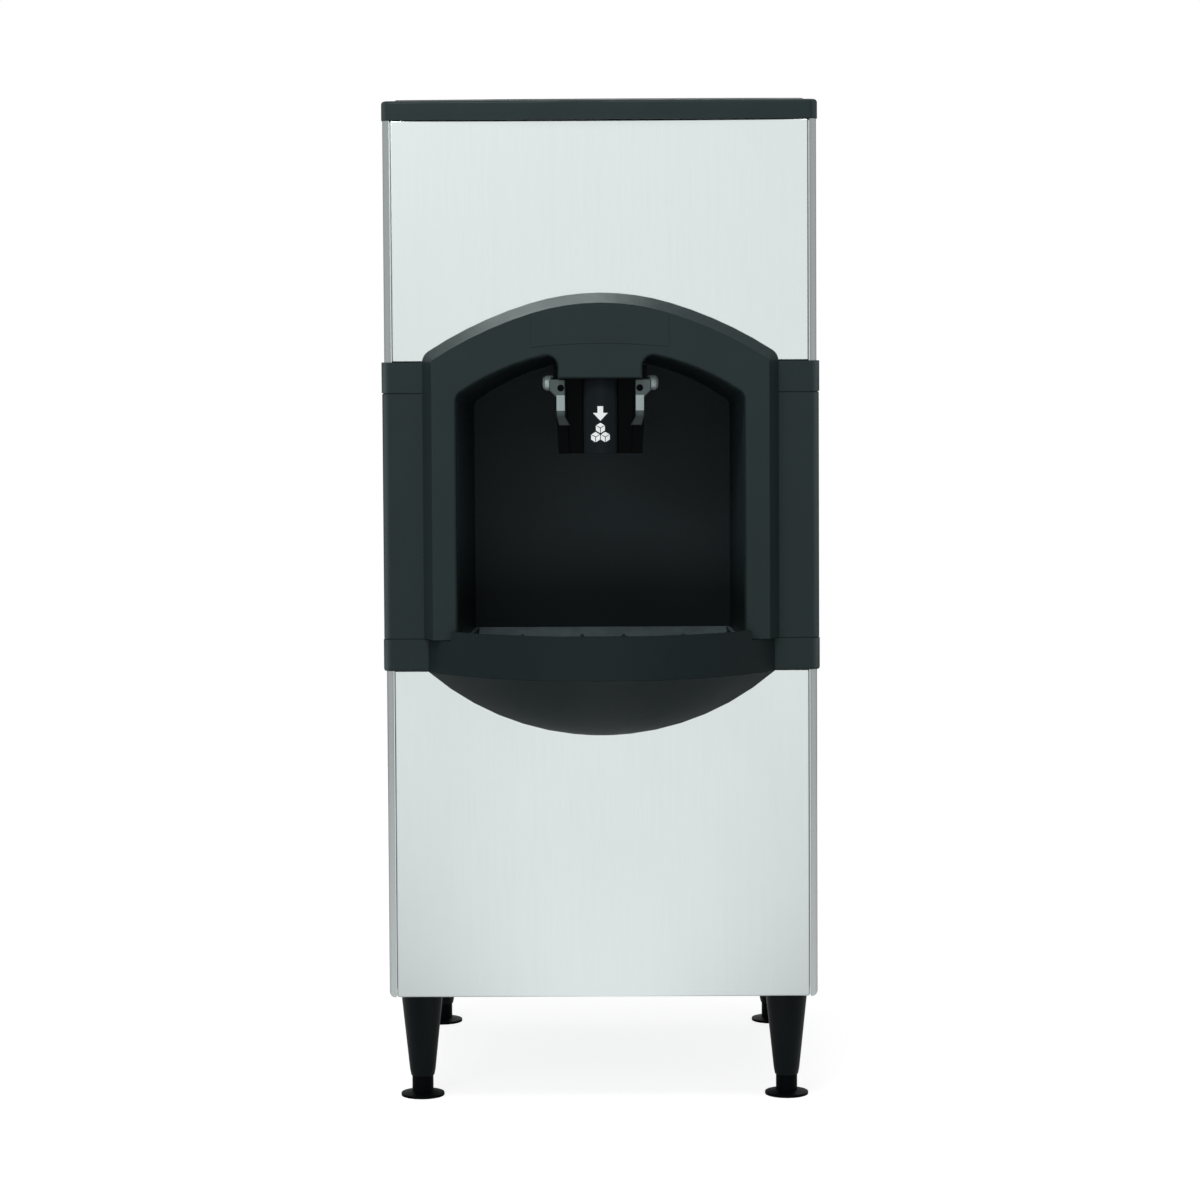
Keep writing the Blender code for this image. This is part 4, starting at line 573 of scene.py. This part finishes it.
# The finish of each material slot of the record
FINISHES = {
    "stainless": stainless(),
    "galvanised": galvanised(),
    "dark_plastic": moulded("charcoal_moulding", CHARCOAL, 0.42, 0.14),
    "liner_plastic": liner_moulding(),
    "gloss_black": gloss_black(),
    "grey_casting": casting(),
    "black_casting": black_coat(),
    "bin_plastic": pale_plastic("white_bin_moulding", (0.74, 0.76, 0.76), 0.45),
    "white_nylon": pale_plastic("white_nylon", (0.80, 0.80, 0.77), 0.35),
    "bronze": bronze(),
    "rubber": rubber(),
    "drain_plastic": pale_plastic("grey_pipe", (0.42, 0.43, 0.43), 0.42),
    "motor_paint": motor_paint(),
}

# the pads' milled colour: pale partly as milled metal, partly as a painted highlight
MILLED_PAD_HIGHLIGHT = machined("milled_casting", (0.29, 0.35, 0.35))
# painted light: a paler copy of the milled finish, so that the pivot caps look lit under the hood
CAP_PAINTED_LIGHT_METAL = machined("turned_cap", (0.55, 0.66, 0.66))
SIDE_SHEET = rolled_stainless()
ROUND_MOULDING = round_moulding()
# the tray moulding, with painted light on its upward faces behind its front
TRAY_MOULDING = moulded("charcoal_tray_moulding", (0.0100, 0.0170, 0.0180), 0.46, 0.12).paint_top_light(TRAY_PAINTED_LIGHT)
FOOT_COAT = moulded("black_foot_moulding", (0.0012, 0.0022, 0.0026), 0.5, 0.05)

# Nodes whose finish isn't the one of their slot
NODE_FINISHES = {
    "left_side_panel": SIDE_SHEET,
    "right_side_panel": SIDE_SHEET,
    "band": ROUND_MOULDING,
    "lid": ROUND_MOULDING,
    "drip_tray": TRAY_MOULDING,
    "tray_cowl": TRAY_MOULDING,
    "front_left_foot": FOOT_COAT,
    "front_right_foot": FOOT_COAT,
    "rear_left_foot": FOOT_COAT,
    "rear_right_foot": FOOT_COAT,
}


def dress_nodes():
    """Gives every carried-over node its finish and its smooth or rounded edges."""
    for part in frame["record"]["subparts"]:
        name, slot = part["node"], part["material_slot"]
        for place in refine(name).material_slots:
            place.material = NODE_FINISHES.get(name, FINISHES[slot]).material


dress_nodes()


# New pieces


def close_rings(bm, rings):
    """Faces from each ring of corners to the next, and one over each end."""
    for low, high in zip(rings, rings[1:]):
        for i in range(len(low)):
            after = (i + 1) % len(low)
            bm.faces.new((low[i], low[after], high[after], high[i]))
    bm.faces.new(list(reversed(rings[0])))
    bm.faces.new(rings[-1])


def new_piece(name, bm, finish, body, smooth=True):
    """A piece from a bmesh drawn in the frame, with its finish and the body that it rides on."""
    bmesh.ops.recalc_face_normals(bm, faces=bm.faces)
    mesh = bpy.data.meshes.new(name)
    bm.to_mesh(mesh)
    bm.free()
    obj = bpy.data.objects.new(name, mesh)
    bpy.context.scene.collection.objects.link(obj)
    mesh.materials.append(finish.material)
    if smooth:
        add_smoothing(obj)
    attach(obj, body)
    return obj


OUTSIDE = 1.0  # metres off the middle, clear of the object
FORWARDS = (0.0, -1.0, 0.0)
BACKWARDS = (0.0, 1.0, 0.0)
SKINS = {}


def touch(name, x, z, way):
    """Where a line forwards or backwards first meets a carried-over node."""
    if name not in SKINS:
        mesh = frame["nodes"][name].data
        faces = [face.vertices[:] for face in mesh.polygons]
        SKINS[name] = BVHTree.FromPolygons([v.co.copy() for v in mesh.vertices], faces)
    hit = SKINS[name].ray_cast(Vector((x, -OUTSIDE * way[1], z)), Vector(way))[0]
    if hit is None:
        raise ValueError(f"nothing of {name} there")
    return hit


# Pictogram on the push chute: an arrow down to three ice cubes, in place of words

PRINT_RISE = 0.14 * mm
PRINT_SINK = 0.10 * mm
PRINT_STEP = 1.6 * mm
ARROW_TOP = 910.5 * mm
ARROW_TIP = 892.0 * mm
ARROW_HALF = 9.5 * mm
ARROW_STEM = 3.6 * mm
ARROW_NECK = 902.0 * mm
CUBE_EDGE = 6.6 * mm
CUBE_HALF = CUBE_EDGE * math.cos(math.radians(30))  # of its width, seen from a corner
CUBE_GAP = 0.45 * mm
CUBE_ROWS = ((883.0 * mm, (0.0,)), (871.5 * mm, (-1.0, 1.0)))  # heights, and places across


def clipped(shape, low, high):
    """The part of a convex shape between two values of x."""
    for limit, side in ((low, 1.0), (high, -1.0)):
        kept = []
        for i, (u, v) in enumerate(shape):
            before_u, before_v = shape[i - 1]
            inside, was_inside = (u - limit) * side >= 0, (before_u - limit) * side >= 0
            if inside != was_inside:
                share = (limit - before_u) / (u - before_u)
                kept.append((limit, before_v + (v - before_v) * share))
            if inside:
                kept.append((u, v))
        shape = kept
    return shape


def print_strip(bm, name, shape):
    """A convex strip of raised ink on the front of a node."""
    surface = [touch(name, u, v, BACKWARDS).y for u, v in shape]
    close_rings(bm, [
        [bm.verts.new((u, y + rise, v)) for (u, v), y in zip(shape, surface)]
        for rise in (PRINT_SINK, -PRINT_RISE)])


def print_on(bm, name, shape):
    """A convex patch of ink that follows the front of a node, in upright strips."""
    low, high = min(u for u, v in shape), max(u for u, v in shape)
    strips = max(1, math.ceil((high - low) / PRINT_STEP))
    width = (high - low) / strips
    for i in range(strips):
        part = clipped(shape, low + width * i, low + width * (i + 1))
        if len(part) > 2:
            print_strip(bm, name, part)


def cube_faces(x, z):
    """The three visible faces of an ice cube seen from a corner, as in a road sign."""
    high, wide, half, gap = CUBE_EDGE, CUBE_HALF, CUBE_EDGE / 2, CUBE_GAP
    roof = [(0.0, gap), (wide - gap, half), (0.0, high - gap / 2), (gap - wide, half)]
    right = [(gap, -gap), (gap, -high), (wide, -half), (wide, half - gap)]
    left = [(-u, v) for u, v in reversed(right)]
    return [[(x + u, z + v) for u, v in face] for face in (roof, right, left)]


def pictogram():
    """The arrow and the ice cubes as one piece."""
    shapes = [
        [(-ARROW_STEM, ARROW_TOP), (-ARROW_STEM, ARROW_NECK),
         (ARROW_STEM, ARROW_NECK), (ARROW_STEM, ARROW_TOP)],
        [(-ARROW_HALF, ARROW_NECK), (0.0, ARROW_TIP), (ARROW_HALF, ARROW_NECK)],
    ]
    for z, places in CUBE_ROWS:
        for place in places:
            shapes += cube_faces(place * (CUBE_HALF + CUBE_GAP), z)
    bm = bmesh.new()
    for shape in shapes:
        print_on(bm, "push_chute", shape)
    new_piece("ice_pictogram", bm, print_white(), "chute", smooth=False)


# Badge place: a bare raised field under the crown of the bezel

BADGE_HALF = 87.5 * mm
BADGE_FOOT = 985.5 * mm
BADGE_FOOT_RADIUS = 774.0 * mm
BADGE_MARGIN = 3.2 * mm  # to the edge of the bezel's face
BADGE_RISE = 0.8 * mm
BADGE_EDGE = 0.45 * mm
BADGE_STEPS = 24
FACE_CROWN = 1041.7 * mm
FACE_RADIUS = 295.1 * mm


def arc(crown, radius, start_x, end_x):
    """Points on an arc with its crown in the middle plane."""
    for i in range(BADGE_STEPS + 1):
        x = start_x + (end_x - start_x) * i / BADGE_STEPS
        yield x, crown - radius + math.sqrt(radius**2 - x**2)


def badge_place():
    """A plate whose upper edge follows the bezel's arch and whose lower edge is a flatter arc."""
    foot_crown = BADGE_FOOT + BADGE_FOOT_RADIUS - math.sqrt(BADGE_FOOT_RADIUS**2 - BADGE_HALF**2)
    outline = [
        *arc(foot_crown, BADGE_FOOT_RADIUS, -BADGE_HALF, BADGE_HALF),
        *arc(FACE_CROWN - BADGE_MARGIN, FACE_RADIUS - BADGE_MARGIN, BADGE_HALF, -BADGE_HALF),
    ]
    face_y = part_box("bezel")[0].y
    bm = bmesh.new()
    close_rings(bm, [
        [bm.verts.new((u, face_y + rise, v)) for u, v in outline] for rise in (BADGE_RISE, -BADGE_RISE)])
    obj = new_piece("badge_place", bm, FINISHES["dark_plastic"], "cabinet", smooth=False)
    round_edges(obj, BADGE_EDGE)
    add_smoothing(obj)


# Small fasteners

HEAD_STEPS = 24
DOME_STEPS = 5
HEAD_SINK_SHARE = 0.2  # of its rise, under the surface
HEAD_WALL_SHARE = 0.25  # of its rise, below the dome
DOME_FLAT_SHARE = 0.52  # of its radius, inside the dome's round
RECESS_SHARES = ((0.48, 1.0), (0.44, 0.9), (0.40, 0.25))  # of its radius and its rise, from the rim down
ARM_HEAD_RADIUS = 4.3 * mm
ARM_HEAD_RISE = 1.5 * mm
CAP_PROFILE = tuple((r * mm, h * mm) for r, h in (
    (9.05, -11.3), (9.5, -10.6), (9.8, -9.0), (9.95, -6.5), (9.9, -4.0), (9.6, -2.0), (9.0, -0.5),
    (8.0, 0.7), (6.4, 1.6), (4.2, 2.2), (1.6, 2.4)))
PANEL_HEAD_RADIUS = 4.2 * mm
PANEL_HEAD_RISE = 2.0 * mm
PANEL_SCREW_X = 267.0 * mm
PANEL_SCREW_Z = tuple(z * mm for z in (185.0, 445.0, 705.0, 965.0, 1225.0))
LEAF_HEAD_RADIUS = 3.6 * mm
LEAF_HEAD_RISE = 1.6 * mm
LEAF_SCREW_X = tuple(x * mm for x in (-186.0, -154.0, 154.0, 186.0))
LEAF_SCREW_Z = 1246.0 * mm


def turned_head(bm, centre, way, profile):
    """Adds a turned head: (radius, rise) points round a line that leaves the surface."""
    axis = Vector(way)
    side = axis.orthogonal().normalized()
    up = axis.cross(side)
    rings = []
    for radius, rise in profile:
        ring = []
        for i in range(HEAD_STEPS):
            a = 2 * math.pi * i / HEAD_STEPS
            around = side * math.cos(a) + up * math.sin(a)
            ring.append(bm.verts.new(Vector(centre) + around * radius + axis * rise))
        rings.append(ring)
    close_rings(bm, rings)


def button_profile(radius, rise):
    """A domed head with a round drive recess."""
    shares = [(1.0, -HEAD_SINK_SHARE), (1.0, HEAD_WALL_SHARE)]
    for step in range(1, DOME_STEPS):
        a = math.pi / 2 * step / DOME_STEPS
        shares.append((DOME_FLAT_SHARE + (1.0 - DOME_FLAT_SHARE) * math.cos(a),
                       HEAD_WALL_SHARE + (1.0 - HEAD_WALL_SHARE) * math.sin(a)))
    return [(radius * out, rise * up) for out, up in (*shares, *RECESS_SHARES)]


def heads(name, places, way, radius, rise, slot, body):
    """One piece with a button head at each place of a surface."""
    bm = bmesh.new()
    for place in places:
        turned_head(bm, place, way, button_profile(radius, rise))
    new_piece(name, bm, FINISHES[slot], body)


def arm_fasteners():
    """The head of each arm's screw, and the turned cap over its pivot boss."""
    for side, name in SIDES:
        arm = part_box(f"{name}_chute_arm")
        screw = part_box(f"{name}_arm_screw")
        middle = (screw[0] + screw[1]) / 2
        heads(f"{name}_arm_screw_head", [(middle.x, arm[0].y, middle.z)], FORWARDS,
              ARM_HEAD_RADIUS, ARM_HEAD_RISE, "gloss_black", "chute")
        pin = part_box(f"{name}_pivot_pin")
        centre = (pin[0] + pin[1]) / 2
        centre.x = arm[1].x if side > 0 else arm[0].x
        bm = bmesh.new()
        turned_head(bm, centre, (side, 0, 0), CAP_PROFILE)
        new_piece(f"{name}_boss_cap", bm, CAP_PAINTED_LIGHT_METAL, "chute")


def rear_fasteners():
    """The screw heads of the back panel and of the hinges' leaves on it."""
    places = [touch("back_panel", side * PANEL_SCREW_X, z, FORWARDS)
              for z in PANEL_SCREW_Z for side, _ in SIDES]
    heads("back_panel_screws", places, BACKWARDS, PANEL_HEAD_RADIUS, PANEL_HEAD_RISE,
          "galvanised", "cabinet")
    places = [touch("left_hinge_leaf" if x < 0 else "right_hinge_leaf", x, LEAF_SCREW_Z, FORWARDS)
              for x in LEAF_SCREW_X]
    heads("hinge_leaf_screws", places, BACKWARDS, LEAF_HEAD_RADIUS, LEAF_HEAD_RISE,
          "galvanised", "cabinet")


def arm_pads():
    """A crowned, slightly upturned pad on each arm's stem, which catches the light from above, in a pale
    milled finish that is partly a painted highlight.
    """
    heights = (PAD_FOOT, (PAD_FOOT + PAD_TOP) / 2, PAD_TOP)
    for side, name in SIDES:
        outer = abs(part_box(f"{name}_arm_screw")[0 if side < 0 else 1].x) + PAD_OVERHANG
        inner = outer - PAD_WIDTH
        places = (inner, (inner + outer) / 2, outer)
        face_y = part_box(f"{name}_chute_arm")[0].y
        bm = bmesh.new()
        rings = []
        for z, rise in zip(heights, PAD_RISE_SHARES):
            profile = [(x, -PAD_RISE * rise * crown) for x, crown in zip(places, PAD_CROWN_SHARES)]
            profile += [(outer, PAD_SINK), (inner, PAD_SINK)]
            rings.append([bm.verts.new((side * x, face_y + y, z)) for x, y in profile])
        close_rings(bm, rings)
        new_piece(f"{name}_arm_pad", bm, MILLED_PAD_HIGHLIGHT, "chute")


# Steel returns behind the upright seams between the side and the front panels

SEAM_IN = 265.8 * mm
SEAM_OUT = 267.0 * mm
SEAM_DEPTH = 0.7 * mm
SEAM_SHEET = 0.6 * mm
SEAM_END = 2.0 * mm


def seam_returns():
    """An upright strip on each side, just under the panels' faces, as their folded edges show it."""
    low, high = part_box("lower_front_panel")[0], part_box("upper_front_panel")[1]
    front, back = low.y + SEAM_DEPTH, low.y + SEAM_DEPTH + SEAM_SHEET
    section = ((SEAM_IN, front), (SEAM_OUT, front), (SEAM_OUT, back), (SEAM_IN, back))
    for side, name in SIDES:
        bm = bmesh.new()
        close_rings(bm, [
            [bm.verts.new((side * x, y, z)) for x, y in section]
            for z in (low.z + SEAM_END, high.z - SEAM_END)])
        new_piece(f"{name}_seam_return", bm, FINISHES["stainless"], "cabinet", smooth=False)


# Return spring


def return_coil():
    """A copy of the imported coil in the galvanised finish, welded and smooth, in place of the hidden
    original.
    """
    obj = bpy.data.objects.new("return_coil", frame["nodes"]["return_spring"].data.copy())
    bpy.context.scene.collection.objects.link(obj)
    obj.data.materials[0] = FINISHES["galvanised"].material
    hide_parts("return_spring")
    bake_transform(obj)
    weld(obj)
    add_smoothing(obj)


pictogram()
badge_place()
arm_fasteners()
rear_fasteners()
arm_pads()
seam_returns()
return_coil()


# Light, floor and camera


def level_blend(tree, factor, first, second):
    """One level where a factor is 0 and another where it is 1."""
    change = calculate(tree, "SUBTRACT", second, first)
    return calculate(tree, "MULTIPLY_ADD", factor, change, first)


def studio_walls(tree, coordinates):
    """A direction's Y, and the level of the mirrored studio: white ahead, dark flags, pale sides."""
    turn = tree.nodes.new("ShaderNodeVectorMath")
    turn.operation = "NORMALIZE"
    tree.links.new(tree.nodes.new("ShaderNodeTexCoord").outputs[coordinates], turn.inputs[0])
    sideways = calculate(tree, "ABSOLUTE", along(tree, turn.outputs[0], "X"))
    flags = spread(tree, sideways, FLAG_START, FLAG_END, 1.0, FLAG_LEVEL, "SMOOTHSTEP")
    sides = spread(tree, sideways, SIDE_START, SIDE_END, 0.0, SIDE_LEVEL - FLAG_LEVEL, "SMOOTHSTEP")
    return along(tree, turn.outputs[0], "Y"), calculate(tree, "ADD", flags, sides)


def studio_world():
    """White behind the object, the studio's walls in its gloss, and a soft level that lights it."""
    world = bpy.data.worlds.new("studio")
    bpy.context.scene.world = world
    world.use_nodes = True
    tree = world.node_tree
    ahead, walls = studio_walls(tree, "Generated")
    soft = spread(tree, ahead, -FRONT_END, -FRONT_START, FRONT_LEVEL, SOFT_LEVEL, "SMOOTHSTEP")
    path = tree.nodes.new("ShaderNodeLightPath").outputs
    mirrored = calculate(tree, "MAXIMUM", path["Is Glossy Ray"], path["Is Transmission Ray"])
    lit = level_blend(tree, mirrored, soft, walls)
    shown = tree.nodes["Background"]
    shown.inputs["Color"].default_value = (1.0, 1.0, 1.0, 1.0)
    tree.links.new(level_blend(tree, path["Is Camera Ray"], lit, 1.0), shown.inputs["Strength"])


def area_light(name, size, power, place, target):
    """A soft box of a width and height that faces a point."""
    data = bpy.data.lights.new(name, "AREA")
    data.shape = "RECTANGLE"
    data.size, data.size_y = size
    data.energy = power
    lamp = bpy.data.objects.new(name, data)
    bpy.context.scene.collection.objects.link(lamp)
    lamp.location = place
    lamp.rotation_euler = (Vector(target) - Vector(place)).to_track_quat("-Z", "Y").to_euler()


def floor_material():
    """White that the camera sees bright, and that shows the studio's walls to the object's gloss."""
    material = bpy.data.materials.new("white_floor")
    material.use_nodes = True
    tree = material.node_tree
    shader = tree.nodes["Principled BSDF"]
    shader.inputs["Base Color"].default_value = (FLOOR_COLOUR, FLOOR_COLOUR, FLOOR_COLOUR, 1.0)
    shader.inputs["Roughness"].default_value = FLOOR_ROUGHNESS
    shader.inputs["Specular IOR Level"].default_value = FLOOR_SPECULAR
    path = tree.nodes.new("ShaderNodeLightPath").outputs
    walls = calculate(tree, "MULTIPLY", studio_walls(tree, "Object")[1], FLOOR_MIRRORED)
    seen = calculate(tree, "MULTIPLY", path["Is Camera Ray"], FLOOR_SEEN)
    lift = calculate(tree, "MULTIPLY_ADD", path["Is Glossy Ray"], walls, seen)
    shader.inputs["Emission Color"].default_value = (1.0, 1.0, 1.0, 1.0)
    tree.links.new(lift, shader.inputs["Emission Strength"])
    return material


def floor():
    """A plain white floor that keeps the object's shadow."""
    bm = bmesh.new()
    bmesh.ops.create_circle(bm, cap_ends=True, segments=FLOOR_STEPS, radius=FLOOR_RADIUS)
    mesh = bpy.data.meshes.new("floor")
    bm.to_mesh(mesh)
    bm.free()
    mesh.materials.append(floor_material())
    obj = bpy.data.objects.new("floor", mesh)
    obj.location.z = -FLOOR_DROP
    bpy.context.scene.collection.objects.link(obj)


def camera():
    """The photograph's camera: some of its drop is a tilt, so that the shift stays small."""
    data = bpy.data.cameras.new("camera")
    data.sensor_width = SENSOR
    data.lens = FOCAL_PIXELS / PHOTO_SIDE * SENSOR
    data.shift_y = CAMERA_SHIFT
    data.clip_end = CAMERA_REACH
    front_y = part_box("lower_front_panel")[0].y
    yaw = math.atan(CAMERA_X / CAMERA_DISTANCE)
    obj = bpy.data.objects.new("camera", data)
    bpy.context.scene.collection.objects.link(obj)
    obj.location = (CAMERA_X, front_y - CAMERA_DISTANCE, CAMERA_HEIGHT)
    obj.rotation_euler = (math.pi / 2 - CAMERA_TILT, CAMERA_ROLL, yaw)
    bpy.context.scene.camera = obj


studio_world()
for lamp_name, settings in LAMPS.items():
    area_light(lamp_name, *settings)
floor()
camera()
bpy.context.scene.view_settings.view_transform = "Standard"
